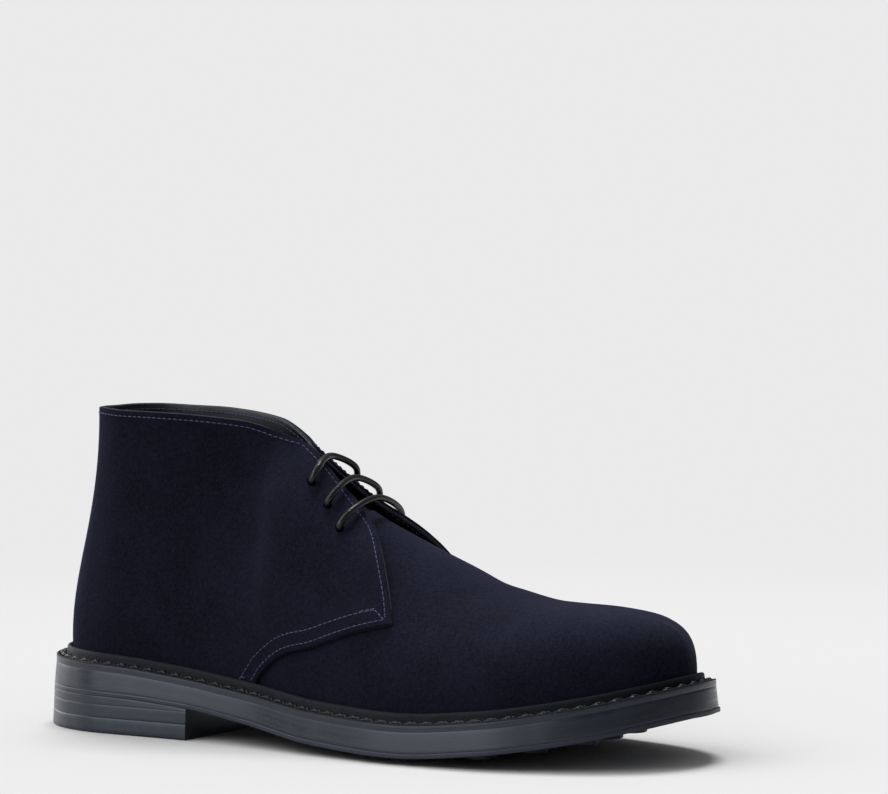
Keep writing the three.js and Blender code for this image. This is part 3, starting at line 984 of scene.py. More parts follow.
class Palette:
    """Builds each shared group once and hands it out."""

    makers: dict[Group, Callable[[], Tree]] = {
        Group.NAP: nap_group, Group.GRAIN: grain_group, Group.TWIST: twist_group,
    }

    def __init__(self) -> None:
        """Starts with nothing built."""
        self.built: dict[Group, Tree] = {}

    def place(self, nodes: Nodes, group: Group, values: dict[str, float]) -> Node:
        """Places a shared group in a material.

        Args:
            nodes: the material's nodes.
            group: which effect.
            values: its inputs.

        Returns:
            The group node.
        """
        if group not in self.built:
            self.built[group] = self.makers[group]()
        return nodes.add("ShaderNodeGroup", values, node_tree=self.built[group])


PALETTE = Palette()


def started(name: str) -> tuple[Material, Nodes, Node]:
    """Starts a material.

    Args:
        name: its name.

    Returns:
        The material, its nodes and its surface shader.
    """
    material = bpy.data.materials.new(name)
    material.use_nodes = True
    material.node_tree.nodes.clear()
    nodes = Nodes(material.node_tree)
    shader = nodes.add("ShaderNodeBsdfPrincipled")
    nodes.add("ShaderNodeOutputMaterial", {"Surface": shader.outputs["BSDF"]})
    return material, nodes, shader


@dataclass(frozen=True)
class Suede:
    """Brushed suede: dark at its roots, paler where the nap stands up."""

    name: str
    root: Colour = (0.0050, 0.0050, 0.0095)
    tip: Colour = (0.0225, 0.0235, 0.0480)
    sheen: float = 0.075
    sheen_tint: Colour = (0.50, 0.54, 0.88)
    roughness: float = 0.95
    nap_depth: float = 0.00022
    nap_strength: float = 0.7
    contrast: float = 1.35
    specular: float = 0.06
    sheen_roughness: float = 0.45

    def material(self) -> Material:
        """Builds the finish.

        Returns:
            The material.
        """
        material, nodes, shader = started(self.name)
        nap = PALETTE.place(nodes, Group.NAP, {"Contrast": self.contrast})
        nodes.feed(shader, {
            "Base Color": nodes.mixed(nap.outputs["Shade"], self.root, self.tip),
            "Normal": nodes.bump(nap.outputs["Height"], self.nap_strength, self.nap_depth),
            "Roughness": self.roughness,
            "Specular IOR Level": self.specular,
            "Sheen Weight": self.sheen,
            "Sheen Roughness": self.sheen_roughness,
            "Sheen Tint": self.sheen_tint,
        })
        return material


@dataclass(frozen=True)
class SmoothLeather:
    """Dyed leather with a fine grain."""

    name: str
    base: Colour = (0.012, 0.012, 0.014)
    worn: Colour = (0.024, 0.025, 0.030)
    roughness: float = 0.45
    rough_spread: Pair = (-0.05, 0.1)
    grain_depth: float = 0.00012
    grain_strength: float = 0.5
    cells: float = 1100.0
    specular: float = 0.5
    shine_tint: Colour = (0.8, 0.87, 1.0)

    def material(self) -> Material:
        """Builds the finish.

        Returns:
            The material.
        """
        material, nodes, shader = started(self.name)
        grain = PALETTE.place(nodes, Group.GRAIN, {"Cells": self.cells})
        shade = grain.outputs["Shade"]
        smoother, rougher = [self.roughness + part for part in self.rough_spread]
        nodes.feed(shader, {
            "Base Color": nodes.mixed(shade, self.base, self.worn),
            "Roughness": nodes.ranged(shade, 0.0, 1.0, smoother, rougher),
            "Normal": nodes.bump(grain.outputs["Height"], self.grain_strength, self.grain_depth),
            "Specular IOR Level": self.specular,
            "Specular Tint": self.shine_tint,
        })
        return material


@dataclass(frozen=True)
class BurnishedEdge:
    """The stained and burnished edge of sole layers: fine streaks along it and a few long scratches."""

    name: str
    base: Colour = (0.0070, 0.0090, 0.0150)
    pale: Colour = (0.0190, 0.0225, 0.0360)
    roughness: float = 0.30
    rough_spread: Pair = (-0.04, 0.12)
    shine_tint: Colour = (0.82, 0.89, 1.0)
    streak_scale: Triple = (14.0, 900.0, 1.0)
    streak_range: Pair = (0.3, 0.7)
    streak_share: float = 0.55
    streak_height: float = 0.6
    streak_depth: float = 0.00010
    streak_strength: float = 0.45
    scratch_scale: Triple = (9.0, 420.0, 1.0)
    scratch_shift: Triple = (3.0, 7.0, 0.0)
    scratch_range: Pair = (0.685, 0.72)
    scratch_share: float = 0.8
    grain_cells: float = 1900.0
    grain_wear: float = 0.8
    grain_share: float = 0.35

    def material(self) -> Material:
        """Builds the finish.

        Returns:
            The material.
        """
        material, nodes, shader = started(self.name)
        run = nodes.add("ShaderNodeUVMap", uv_map="run").outputs["UV"]
        long = nodes.add("ShaderNodeMapping", {"Vector": run, "Scale": self.streak_scale})
        streak = nodes.noise(long.outputs["Vector"], 1.0, detail=5.0, roughness=0.65)
        longer = nodes.add("ShaderNodeMapping", {"Vector": run, "Scale": self.scratch_scale,
                                                 "Location": self.scratch_shift})
        scratch = nodes.noise(longer.outputs["Vector"], 1.0, detail=2.0, roughness=0.4)
        scratches = nodes.ranged(scratch, *self.scratch_range)
        grain = PALETTE.place(nodes, Group.GRAIN, {"Cells": self.grain_cells, "Wear": self.grain_wear})
        shade = nodes.summed(
            nodes.math("MULTIPLY", nodes.ranged(streak, *self.streak_range), self.streak_share),
            nodes.math("MULTIPLY", grain.outputs["Shade"], self.grain_share),
            nodes.math("MULTIPLY", scratches, self.scratch_share),
            clamp=True,
        )
        height = nodes.math("SUBTRACT", nodes.math("MULTIPLY", streak, self.streak_height), scratches)
        smoother, rougher = [self.roughness + part for part in self.rough_spread]
        nodes.feed(shader, {
            "Base Color": nodes.mixed(shade, self.base, self.pale),
            "Roughness": nodes.ranged(shade, 0.0, 1.0, smoother, rougher),
            "Normal": nodes.bump(height, self.streak_strength, self.streak_depth),
            "Specular Tint": self.shine_tint,
        })
        return material


@dataclass(frozen=True)
class Rubber:
    """Moulded rubber, slightly dusty."""

    name: str
    base: Colour = (0.014, 0.015, 0.024)
    dusty: Colour = (0.026, 0.028, 0.044)
    roughness: float = 0.5
    shine_tint: Colour = (0.72, 0.82, 1.0)
    dust_scale: float = 160.0
    dust_range: Pair = (0.4, 0.75)
    grain_scale: float = 2600.0
    grain_depth: float = 0.0001
    grain_strength: float = 0.35

    def material(self) -> Material:
        """Builds the finish.

        Returns:
            The material.
        """
        material, nodes, shader = started(self.name)
        place = nodes.add("ShaderNodeTexCoord").outputs["Object"]
        cloud = nodes.noise(place, self.dust_scale, detail=6.0, roughness=0.65)
        fine = nodes.noise(place, self.grain_scale, detail=2.0)
        nodes.feed(shader, {
            "Base Color": nodes.mixed(nodes.ranged(cloud, *self.dust_range), self.base, self.dusty),
            "Normal": nodes.bump(fine, self.grain_strength, self.grain_depth),
            "Roughness": self.roughness,
            "Specular Tint": self.shine_tint,
        })
        return material


@dataclass(frozen=True)
class Thread:
    """Twisted thread or waxed cord, with painted shade in the grooves of its twist and a painted highlight on
    its ridges.
    """

    name: str
    # Painted shade: the colour in the grooves of the twist.
    valley: Colour = (0.030, 0.030, 0.075)
    # Painted highlight: the paler colour on the ridges of the twist.
    crown: Colour = (0.105, 0.105, 0.235)
    roughness: float = 0.7
    turns: float = 5200.0
    lean: float = 1.0
    depth: float = 0.00008
    strength: float = 0.6
    coat: float = 0.0
    coat_roughness: float = 0.25
    specular: float = 0.5

    def material(self) -> Material:
        """Builds the finish.

        Returns:
            The material.
        """
        material, nodes, shader = started(self.name)
        twist = PALETTE.place(nodes, Group.TWIST, {"Turns": self.turns, "Lean": self.lean})
        # Painted shade in the twist's grooves and a painted highlight on its ridges, following its relief.
        nodes.feed(shader, {
            "Base Color": nodes.mixed(twist.outputs["Shade"], self.valley, self.crown),
            "Normal": nodes.bump(twist.outputs["Height"], self.strength, self.depth),
            "Roughness": self.roughness,
            "Specular IOR Level": self.specular,
            "Coat Weight": self.coat,
            "Coat Roughness": self.coat_roughness,
        })
        return material


# ---------------------------------------------------------------------------
# Sub-assemblies
# ---------------------------------------------------------------------------


class Slot(Enum):
    """The record's material slots."""

    OUTSOLE = "outsole_rubber"
    SOLE = "sole_leather"
    TOP_LIFT = "top_lift_rubber"
    WELT = "welt_leather"
    LINING = "lining_leather"
    SUEDE = "suede"
    TONGUE = "tongue_suede"
    LACE = "lace_cord"


def settle(piece: Piece, slot: Slot, *nodes: str) -> None:
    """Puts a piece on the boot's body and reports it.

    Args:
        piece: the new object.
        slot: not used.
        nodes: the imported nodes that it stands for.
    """
    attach(piece, BODY)
    if nodes:
        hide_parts(*nodes)
    stands_for = ", ".join(nodes) or "detail"
    LOG.info("%s: %d faces, stands for %s", piece.name, len(piece.data.polygons), stands_for)


def add_finish(piece: Piece, material: Material, chosen: Callable[[Array], Array]) -> None:
    """Gives some faces of a piece another finish.

    Args:
        piece: the object.
        material: the other finish.
        chosen: from (n, 3) face centres in metres, which faces take it.
    """
    piece.data.materials.append(material)
    centres = np.empty(3 * len(piece.data.polygons))
    piece.data.polygons.foreach_get("center", centres)
    piece.data.polygons.foreach_set("material_index", chosen(centres.reshape(-1, 3)).astype(np.int32))


class SectionRow(NamedTuple):
    """A corner of a ring's section: inset from the sole's edge, and rise over a level of the sole."""

    inset: float
    rise: float


# Places up a layer's side, and how far each is pulled in as a part of its edge rounding.
LAYER_SIDE = (
    (0.0, 1.0), (0.04, 0.3), (0.12, 0.0), (0.35, 0.0),
    (0.65, 0.0), (0.88, 0.0), (0.96, 0.3), (1.0, 1.0),
)

# The cut of a stud's rim, as insets from its radius and rises over its foot.
STUD_RIM = (
    SectionRow(1.6, 0.0), SectionRow(1.5, 0.25), SectionRow(1.2, 0.25), SectionRow(1.1, 0.0),
    SectionRow(0.4, 0.0), SectionRow(0.1, 0.15), SectionRow(0.0, 0.5),
)


@dataclass
class Sole:
    """Outsole with studs, midsole, heel stack, top lift and insole."""

    last: Last
    placement: Placement
    steps: int = 260
    outsole_thickness: float = 2.0
    outsole_lip: float = 1.5
    midsole_flare: float = 0.9
    heel_length: float = 87.0
    heel_flare: float = 1.9
    tread_flare: float = 1.5
    stack_flares: Triple = (1.0, 1.2, 1.45)
    top_lift_thickness: float = 6.4
    stack_line: float = 11.6
    insole_inset: float = 9.6
    insole_thickness: float = 2.6
    corner_round: float = 0.35
    stud_radius: float = 6.2
    stud_height: float = 2.6
    stud_pitch: float = 19.0
    stud_margin: float = 7.0
    tread_start: float = 128.0
    tread_end: float = 264.0
    row_pitch: float = 16.53
    ball: float = 205.0
    stud_fade: float = 0.022
    stud_root: float = 0.8
    stud_corners: int = 28
    heel_lip: float = 0.95
    heel_round: float = 0.09
    tread_round: float = 0.25
    lip_blend: float = 40.0

    def ring_turns(self) -> Array:
        """Returns signed turns once round the sole."""
        return np.linspace(-1, 1, 2 * self.steps, endpoint=False)

    def heel_turns(self) -> Array:
        """Returns signed turns round the heel, from breast to breast."""
        end = float(self.last.turn_at(self.heel_length))
        return np.linspace(-end, end, self.steps)

    def layer(self, turns: Array, bottom: Callable[[Array], Array], top: Callable[[Array], Array],
              low_inset: Array | float, high_inset: Array | float, closed: bool = True,
              edge_round: Optional[float] = None) -> Draft:
        """Makes one layer with rounded edges: its side, its top and its underside.

        Args:
            turns: signed turns round it.
            bottom: its underside's height at each station.
            top: its upper side's height at each station.
            low_inset: inset of its lower edge.
            high_inset: inset of its upper edge.
            closed: the turns go once round the whole sole.
            edge_round: how round its edges are.

        Returns:
            The draft.
        """
        rounding = self.corner_round if edge_round is None else edge_round
        draft = Draft()
        grid, run = [], []
        for part, pull in LAYER_SIDE:
            inset = low_inset + (high_inset - low_inset) * part + rounding * pull
            xy = self.last.plan(turns, np.broadcast_to(inset, turns.shape))
            low, high = bottom(xy[:, 0]), top(xy[:, 0])
            z = low + (high - low) * part
            grid.append(raised(xy, z))
            run.append(np.stack([run_length(xy), z - low], -1))
        grid, run = np.stack(grid, 1), np.stack(run, 1)
        draft.add_grid(grid, close_columns=closed, run=run)
        for edge, level in ((0, bottom), (-1, top)):
            self.fill(draft, grid[:, edge], level, closed)
        if not closed:
            self.breast(draft, grid)
        return draft

    def fill(self, draft: Draft, rim: Array, level: Callable[[Array], Array], closed: bool) -> None:
        """Closes a layer's flat with strips from the outer to the inner side.

        Args:
            draft: the layer.
            rim: (n, 3) points once round it, from toe or breast by the outer side, heel and inner side.
            level: the flat's height at each station.
            closed: the rim goes once round the whole sole, so its inner side ends at its first point.
        """
        half = len(rim) // 2
        inner = np.concatenate([rim[half:], rim[:1]]) if closed else rim[half:]
        outer = rim[:half + 1][::-1][:len(inner)]
        across = np.linspace(0, 1, FLAT_STRIPS + 1)
        grid = outer[:, None] * (1 - across)[None, :, None] + inner[:, None] * across[None, :, None]
        inside = grid[:, 1:-1]
        inside[..., 2] = level(inside[..., 0])
        draft.add_grid(grid)

    def breast(self, draft: Draft, grid: Array) -> None:
        """Closes the flat front of a heel layer, between the first and the last column of its side.

        Args:
            draft: the layer.
            grid: (columns, rows, 3) points of its side.
        """
        across = np.linspace(0, 1, FLAT_STRIPS + 1)[:, None, None]
        draft.add_grid(grid[0][None] * (1 - across) + grid[-1][None] * across)

    def outsole_top(self, x: Array) -> Array:
        """Returns the height of the outsole's upper side."""
        return self.last.under_height(x) + self.outsole_thickness

    def welt_base(self, x: Array) -> Array:
        """Returns the height of the welt's underside."""
        return self.last.edge_height(x) - self.last.welt_thickness

    def sock_base(self, x: Array) -> Array:
        """Returns the height of the insole's underside."""
        return self.welt_base(x) + self.last.foot_gap

    def sock_top(self, x: Array) -> Array:
        """Returns the height of the insole's upper side."""
        return self.sock_base(x) + self.insole_thickness

    def level(self, height: float) -> Callable[[Array], Array]:
        """Returns a flat that has the same height at every station.

        Args:
            height: the height, in millimetres.

        Returns:
            The flat, as a function of stations.
        """

        def flat(x: Array) -> Array:
            """Returns that height for each station."""
            return np.full(np.shape(x), height)

        return flat

    def stud(self, draft: Draft, x: float, y: float) -> None:
        """Adds one low round stud with a softened rim.

        Args:
            draft: the outsole.
            x: the stud's station.
            y: its place across the sole.
        """
        under = float(self.last.under_height(x))
        foot = max(0.0, under - self.stud_height + self.stud_fade * max(0.0, x - self.ball))
        root = under + self.stud_root
        r = self.stud_radius
        rim = [(r - row.inset, foot + row.rise) for row in STUD_RIM]
        profile = [(0.0, foot), *rim, (r, root), (0.0, root)]
        angle = np.linspace(0, 2 * math.pi, self.stud_corners, endpoint=False)
        ring = [[(x + out * math.cos(a), y + out * math.sin(a), z) for out, z in profile] for a in angle]
        draft.add_grid(np.array(ring), close_columns=True)

    def studs(self, draft: Draft) -> None:
        """Adds the staggered rows of studs under the forefoot.

        Args:
            draft: the outsole.
        """
        pitch, margin = self.stud_pitch, self.stud_margin + self.stud_radius
        for row, x in enumerate(np.arange(self.tread_start, self.tread_end, self.row_pitch)):
            turn = self.last.turn_at(x)
            low = float(self.last.lateral(turn)) + margin
            high = float(self.last.medial(turn)) - margin
            shift = 0.5 if row % 2 else 0.0
            reach = math.floor((high - low) / 2 / pitch + shift) - shift
            for step in np.arange(-reach, reach + 0.01, 1.0):
                self.stud(draft, float(x), (low + high) / 2 + step * pitch)

    def build(self, edge: Material, rubber: Material, lift: Material, lining: Material) -> None:
        """Makes and places every layer.

        Args:
            edge: the finish of the stained leather layers.
            rubber: the outsole's finish.
            lift: the top lift's finish.
            lining: the insole's finish.
        """
        turns = self.ring_turns()
        blend_end = self.heel_length + self.lip_blend
        forward = smoothstep(self.last.station_at(turns), self.heel_length, blend_end)
        lip = self.heel_lip + (self.outsole_lip - self.heel_lip) * forward
        outsole = self.layer(turns, self.last.under_height, self.outsole_top, -lip, -lip)
        self.studs(outsole)
        sheet = outsole.make("outsole_sheet", self.placement, rubber)
        breast = self.heel_length * METRE_PER_MM + self.placement.shift[0]
        add_finish(sheet, edge, lambda centre: centre[:, 0] < breast)
        settle(sheet, Slot.OUTSOLE, "outsole")
        midsole = self.layer(turns, self.outsole_top, self.welt_base, -self.midsole_flare, 0.0,
                             edge_round=self.heel_round)
        settle(midsole.make("midsole_edge", self.placement, edge), Slot.SOLE, "midsole")
        self.build_heel(edge, lift)
        sock = self.layer(turns, self.sock_base, self.sock_top, self.insole_inset, self.insole_inset)
        settle(sock.make("insole_sock", self.placement, lining), Slot.LINING, "insole")

    def build_heel(self, edge: Material, lift: Material) -> None:
        """Makes and places the two lifts of the heel stack and the top lift.

        Args:
            edge: the finish of the stained leather lifts.
            lift: the top lift's finish.
        """
        heel = self.heel_turns()
        line, top = self.level(self.stack_line), self.level(self.top_lift_thickness)
        high, middle, low = self.stack_flares
        upper_lift = self.layer(heel, line, self.last.under_height, -middle, -high, False, self.heel_round)
        lower_lift = self.layer(heel, top, line, -low, -middle, False, self.heel_round)
        settle(upper_lift.make("heel_lift_upper", self.placement, edge), Slot.SOLE, "heel_stack")
        settle(lower_lift.make("heel_lift_lower", self.placement, edge), Slot.SOLE)
        tread = self.layer(heel, self.level(0.0), top, -self.heel_flare, -self.tread_flare, False,
                           self.tread_round)
        settle(tread.make("heel_top_piece", self.placement, lift), Slot.TOP_LIFT, "top_lift")


# Corners of the welt's section, from its lower outer edge up over the flange and the rim, and down inside.
WELT_SECTION = (
    SectionRow(0.10, -3.0), SectionRow(0.0, -2.9), SectionRow(0.0, -1.4), SectionRow(0.0, -0.5),
    SectionRow(0.08, -0.2), SectionRow(0.30, 0.0), SectionRow(0.90, 0.12), SectionRow(1.15, 0.05),
    SectionRow(1.40, -0.45), SectionRow(1.90, -0.95), SectionRow(2.80, -1.10), SectionRow(3.60, -0.95),
    SectionRow(4.05, -0.30), SectionRow(4.30, 0.70), SectionRow(4.45, 1.90), SectionRow(4.65, 2.90),
    SectionRow(5.05, 3.50), SectionRow(5.65, 3.72), SectionRow(6.20, 3.55), SectionRow(6.55, 2.95),
    SectionRow(6.72, 1.50), SectionRow(6.90, -3.0),
)


@dataclass
class Welt:
    """Storm welt: a grooved flange, a raised rim against the upper and a row of heavy lock stitches."""

    last: Last
    placement: Placement
    steps: int = 320
    stitch_pitch: float = 6.9
    stitch_inset: float = 2.7
    stitch_slant: float = 0.5
    stitch_sink: float = 0.75
    stitch_arch: float = 0.95
    thread_radius: float = 1.05
    thread_end: float = 0.55
    thread_squash: float = 0.8
    thread_sides: int = 10
    overlap: float = 0.97
    side_top: float = -0.6
    line_steps: int = 6001

    def build(self, leather: Material, edge: Material, thread: Material) -> None:
        """Makes and places the welt and its stitches.

        Args:
            leather: the finish of its flange and rim.
            edge: the burnished finish of its outer side.
            thread: the finish of the lock stitches.
        """
        turns = np.linspace(-1, 1, 2 * self.steps, endpoint=False)
        grid, run = [], []
        across = 0.0
        for before, row in zip((WELT_SECTION[0], *WELT_SECTION), WELT_SECTION):
            across += math.hypot(row.inset - before.inset, row.rise - before.rise)
            xy = self.last.plan(turns, np.full(turns.shape, row.inset))
            grid.append(raised(xy, self.last.edge_height(xy[:, 0]) + row.rise))
            run.append(np.stack([run_length(xy), np.full(len(xy), across)], -1))
        draft = Draft()
        draft.add_grid(np.stack(grid, 1), close_rows=True, close_columns=True, run=np.stack(run, 1))
        piece = draft.make("storm_welt", self.placement, leather)

        add_finish(piece, edge, self.on_side)
        settle(piece, Slot.WELT, "welt")
        settle(self.stitches().make("welt_stitches", self.placement, thread), Slot.WELT)

    def on_side(self, centres: Array) -> Array:
        """Returns which face centres, in metres, belong to the flange's outer side."""
        own = (centres - self.placement.shift) / METRE_PER_MM
        return own[:, 2] - self.last.edge_height(own[:, 0]) < self.side_top

    def stitches(self) -> Draft:
        """Returns the lock stitches, evenly spaced once round the boot.

        Returns:
            The draft.
        """
        fine = np.linspace(-1, 1, self.line_steps)
        length = run_length(self.last.plan(fine, np.full(fine.shape, self.stitch_inset)))
        count = round(length[-1] / self.stitch_pitch)
        pitch = length[-1] / count
        draft = Draft()
        for k in range(count):
            along = np.linspace(0, self.overlap, 9)
            turn = np.interp(k * pitch + along * pitch, length, fine)
            arch = np.sin(math.pi * (along / self.overlap))
            inset = self.stitch_inset + self.stitch_slant * (1 - 2 * along / self.overlap)
            xy = self.last.plan(turn, inset)
            z = self.last.edge_height(xy[:, 0]) - self.stitch_sink + self.stitch_arch * arch
            radius = self.thread_radius * (self.thread_end + (1 - self.thread_end) * arch)
            draft.add_tube(raised(xy, z), radius, self.thread_sides, self.thread_squash, UP)
        return draft


@dataclass
class Upper:
    """Vamp, quarters with their lining, tongue, and the stitching of the collar and the lapped seams."""

    last: Last
    placement: Placement
    suede_thickness: float = 1.35
    lining_gap: float = 0.1
    wall: float = 2.4
    edge_round: float = 0.45
    quarter_columns: int = 150
    quarter_rows: int = 64
    crowding: float = 1.6
    vamp_columns: int = 130
    vamp_rows: int = 60
    vamp_wall: float = 2.3
    shortest: float = 0.5
    edge_limit: float = 0.3
    skin_limit: float = 0.45
    tongue_top: float = 121.0
    tongue_droop: float = 5.0
    tongue_lap: float = 4.0
    tongue_reach: float = 0.24
    tongue_depth: float = 1.3
    tongue_wall: float = 1.8
    eyelet_radius: float = 1.75
    punch_reach: float = 7.0
    punch_sides: int = 20
    stitch_inset: float = 2.3
    stitch_pitch: float = 2.45
    stitch_length: float = 1.75
    stitch_radius: float = 0.26
    stitch_sink: float = 0.22
    stitch_arch: float = 0.34
    stitch_sides: int = 6
    seam_start: float = 108.0
    seam_foot: float = 0.035
    seam_rows: tuple[Pair, ...] = ((2.2, 0.988), (7.2, 0.972))
    edge_reach: float = 0.9955
    tack_steps: int = 30
    tack_rise: float = 0.006
    raw_radius: float = 0.2
    raw_reach: float = 0.99
    grip_reach: float = 0.26
    grip_heights: Pair = (0.12, 0.9)
    grip_rounding: float = 0.06
    grip_thickness: float = 0.7

    def columns(self, count: int) -> Array:
        """Returns signed turns across both quarters, crowded near the corners.

        Args:
            count: how many steps each quarter has.

        Returns:
            The turns, from the outer corner to the inner one.
        """
        along = np.linspace(-1, 1, 2 * count + 1)
        spread = 1 - (1 - np.abs(along)) ** self.crowding
        return np.sign(along) * float(self.last.turn_at(self.last.corner)) * spread

    def quarter_shell(self, outer_depth: float, inner_depth: float) -> Draft:
        """Makes one skin of the quarters' wall as a closed shell with rounded edges.

        Args:
            outer_depth: depth of its outer face below the quarters' face.
            inner_depth: depth of its inner face.

        Returns:
            The draft.
        """
        turns = self.columns(self.quarter_columns)
        x = self.last.station_at(turns)
        low, high = self.last.seam_height(x), self.last.free_height(x)
        ends = self.last.form(turns, high) - self.last.form(turns, low)
        length = np.maximum(np.linalg.norm(ends, axis=-1), self.shortest)
        tuck = np.minimum(self.edge_round / length, self.edge_limit)
        r = min(self.edge_round, (inner_depth - outer_depth) * self.skin_limit)
        near, soft = 0.3 * tuck, 0.3 * r
        foot, end = np.zeros_like(tuck), np.ones_like(tuck)
        face = [tuck + (1 - 2 * tuck) * v for v in np.linspace(0, 1, self.quarter_rows)]
        rows = [(share, outer_depth) for share in face]
        rows += [(1 - near, outer_depth + soft), (end, outer_depth + r)]
        rows += [(end, inner_depth - r), (1 - near, inner_depth - soft)]
        rows += [(share, inner_depth) for share in face[::-1]]
        rows += [(near, inner_depth - soft), (foot, inner_depth - r)]
        rows += [(foot, outer_depth + r), (near, outer_depth + soft)]
        skin = [self.last.quarter(turns, low + (high - low) * share, depth) for share, depth in rows]
        draft = Draft()
        draft.add_grid(np.stack(skin, 1), close_rows=True)
        return draft

    def vamp(self) -> Draft:
        """Makes the vamp's wall, over the ridge from side to side and round the toe.

        Returns:
            The draft.
        """
        across = np.linspace(-1, 1, 2 * self.vamp_rows + 1)
        height = 1 - np.abs(across)
        side = np.where(across < 0, -1.0, 1.0)
        back = self.last.turn_at(self.last.vamp_back(height))
        share = np.linspace(0, 1, self.vamp_columns)[:, None]
        turn = side[None] * (back[None] + (1 - back[None]) * share)
        heights = np.broadcast_to(height[None], turn.shape)
        draft = Draft()
        offsets = (0.0, -self.vamp_wall)
        sheets = [self.last.surface(turn, heights, np.full(turn.shape, offset)) for offset in offsets]
        for sheet in sheets:
            draft.add_grid(sheet)
        draft.add_grid(np.stack([sheet[0] for sheet in sheets], 1))
        return draft

    def tongue(self) -> Draft:
        """Makes the tongue as a closed shell under the facings.

        Returns:
            The draft.
        """
        last = self.last
        across = np.linspace(-1, 1, 61)
        height = 1 - np.abs(across) * self.tongue_reach
        side = np.where(across < 0, -1.0, 1.0)
        top = last.turn_at(self.tongue_top + self.tongue_droop * across ** 2)
        foot = last.turn_at(last.vamp_back(height) + self.tongue_lap)
        share = np.linspace(0, 1, 60)[:, None]
        turn = side[None] * (top[None] + (foot[None] - top[None]) * share)
        heights = np.broadcast_to(height[None], turn.shape)
        base, normal = last.form(turn, heights), last.normal(turn, heights)
        depths = (self.tongue_depth, self.tongue_depth + self.tongue_wall)
        draft = Draft()
        draft.add_shell(*[base - normal * depth for depth in depths])
        return draft

    def punched(self, obj: Piece, holes: Sequence["Eyelet"]) -> None:
        """Punches the lace holes through a piece.

        Args:
            obj: the piece.
            holes: the lace holes.
        """
        cutters = Draft()
        for hole in holes:
            for side in Side:
                centre, axis = hole.seat(self.last, side, self.wall)
                path = centre + np.linspace(-self.punch_reach, self.punch_reach, 3)[:, None] * axis
                cutters.add_tube(path, self.eyelet_radius, self.punch_sides)
        cutter = cutters.make("eyelet_cutter", self.placement, obj.data.materials[0])
        modifier = obj.modifiers.new("eyelets", "BOOLEAN")
        modifier.operation = "DIFFERENCE"
        modifier.solver = "EXACT"
        modifier.object = cutter
        view = bpy.context.evaluated_depsgraph_get()
        cut = bpy.data.meshes.new_from_object(obj.evaluated_get(view))
        obj.modifiers.clear()
        old = obj.data
        obj.data = cut
        cut.name = old.name
        bpy.data.meshes.remove(old)
        bpy.data.objects.remove(cutter)

    def row(self, draft: Draft, turn: Array, height: Array, inside: bool = False) -> None:
        """Adds a row of stitches along a line of places on the quarters.

        Args:
            draft: the thread.
            turn: signed turns of the line.
            height: heights of the line.
            inside: the row shows on the lining.
        """
        path = self.last.quarter(turn, height, np.zeros(turn.shape))
        length = run_length(path)
        count = max(1, round(length[-1] / self.stitch_pitch))
        step = length[-1] / count
        share = np.linspace(0, 1, 6)
        arch = np.sin(math.pi * share)
        for k in range(count):
            at = k * step + (step - self.stitch_length) / 2 + share * self.stitch_length
            depth = self.stitch_sink - self.stitch_arch * arch
            if inside:
                depth = self.wall - depth
            places = np.interp(at, length, turn), np.interp(at, length, height)
            draft.add_tube(self.last.quarter(*places, depth), self.stitch_radius, self.stitch_sides)

    def stitching(self) -> Draft:
        """Returns the row of the collar and front edges, and each lapped seam's two rows and corner.

        Returns:
            The draft.
        """
        draft = Draft()
        edge = self.edge_line()
        self.row(draft, *edge)
        self.row(draft, *edge, inside=True)
        for side in Side:
            lower, upper = [self.seam_line(side, *seam) for seam in self.seam_rows]
            self.row(draft, *lower)
            self.row(draft, *upper)
            self.row(draft, *[np.linspace(start[-1], end[-1], 20) for start, end in zip(lower, upper)])
            self.row(draft, upper[0][-self.tack_steps:], upper[1][-self.tack_steps:] + self.tack_rise)
        return draft

    def edge_line(self) -> tuple[Array, Array]:
        """Returns the stitch line inside the free edge of both quarters, from corner to corner.

        Returns:
            Signed turns and heights.
        """
        end = float(self.last.turn_at(self.last.corner)) * self.edge_reach
        turn = np.linspace(-end, end, 1200)
        return self.moved_in(turn, self.last.free_height(self.last.station_at(turn)), self.stitch_inset, -1)

    def seam_line(self, side: Side, inset: float, reach: float) -> tuple[Array, Array]:
        """Returns the line above a quarter's lower seam, from the welt forward.

        Args:
            side: which quarter.
            inset: its distance above the seam's edge.
            reach: where it ends, as a part of the corner's turn.

        Returns:
            Signed turns and heights.
        """
        start, corner = self.last.turn_at(self.seam_start), float(self.last.turn_at(self.last.corner))
        turn = np.linspace(start, corner * reach, 300) * side.value
        turn, height = self.moved_in(turn, self.last.seam_height(self.last.station_at(turn)), inset, 1)
        keep = height > self.seam_foot
        return turn[keep], height[keep]

    def moved_in(self, turn: Array, height: Array, inset: float, way: int) -> tuple[Array, Array]:
        """Returns the places at a distance inside an edge of the quarters.

        Args:
            turn: signed turns along the edge.
            height: heights along the edge.
            inset: the distance, in millimetres.
            way: 1 where the leather is above the edge and -1 where it is below.

        Returns:
            Signed turns and heights.
        """
        last = self.last
        edge = last.form(turn, height)
        up = last.form(turn, height + way * HEIGHT_STEP) - edge
        turned = last.form(turn - np.sign(turn) * TURN_STEP, height) - edge
        inward = unit(np.cross(unit(np.gradient(edge, axis=0)), last.normal(turn, height)))
        inward *= np.sign(np.sum(inward * up, -1, keepdims=True))
        return self.solved(turn, height, inward * inset, -way * up, turned)

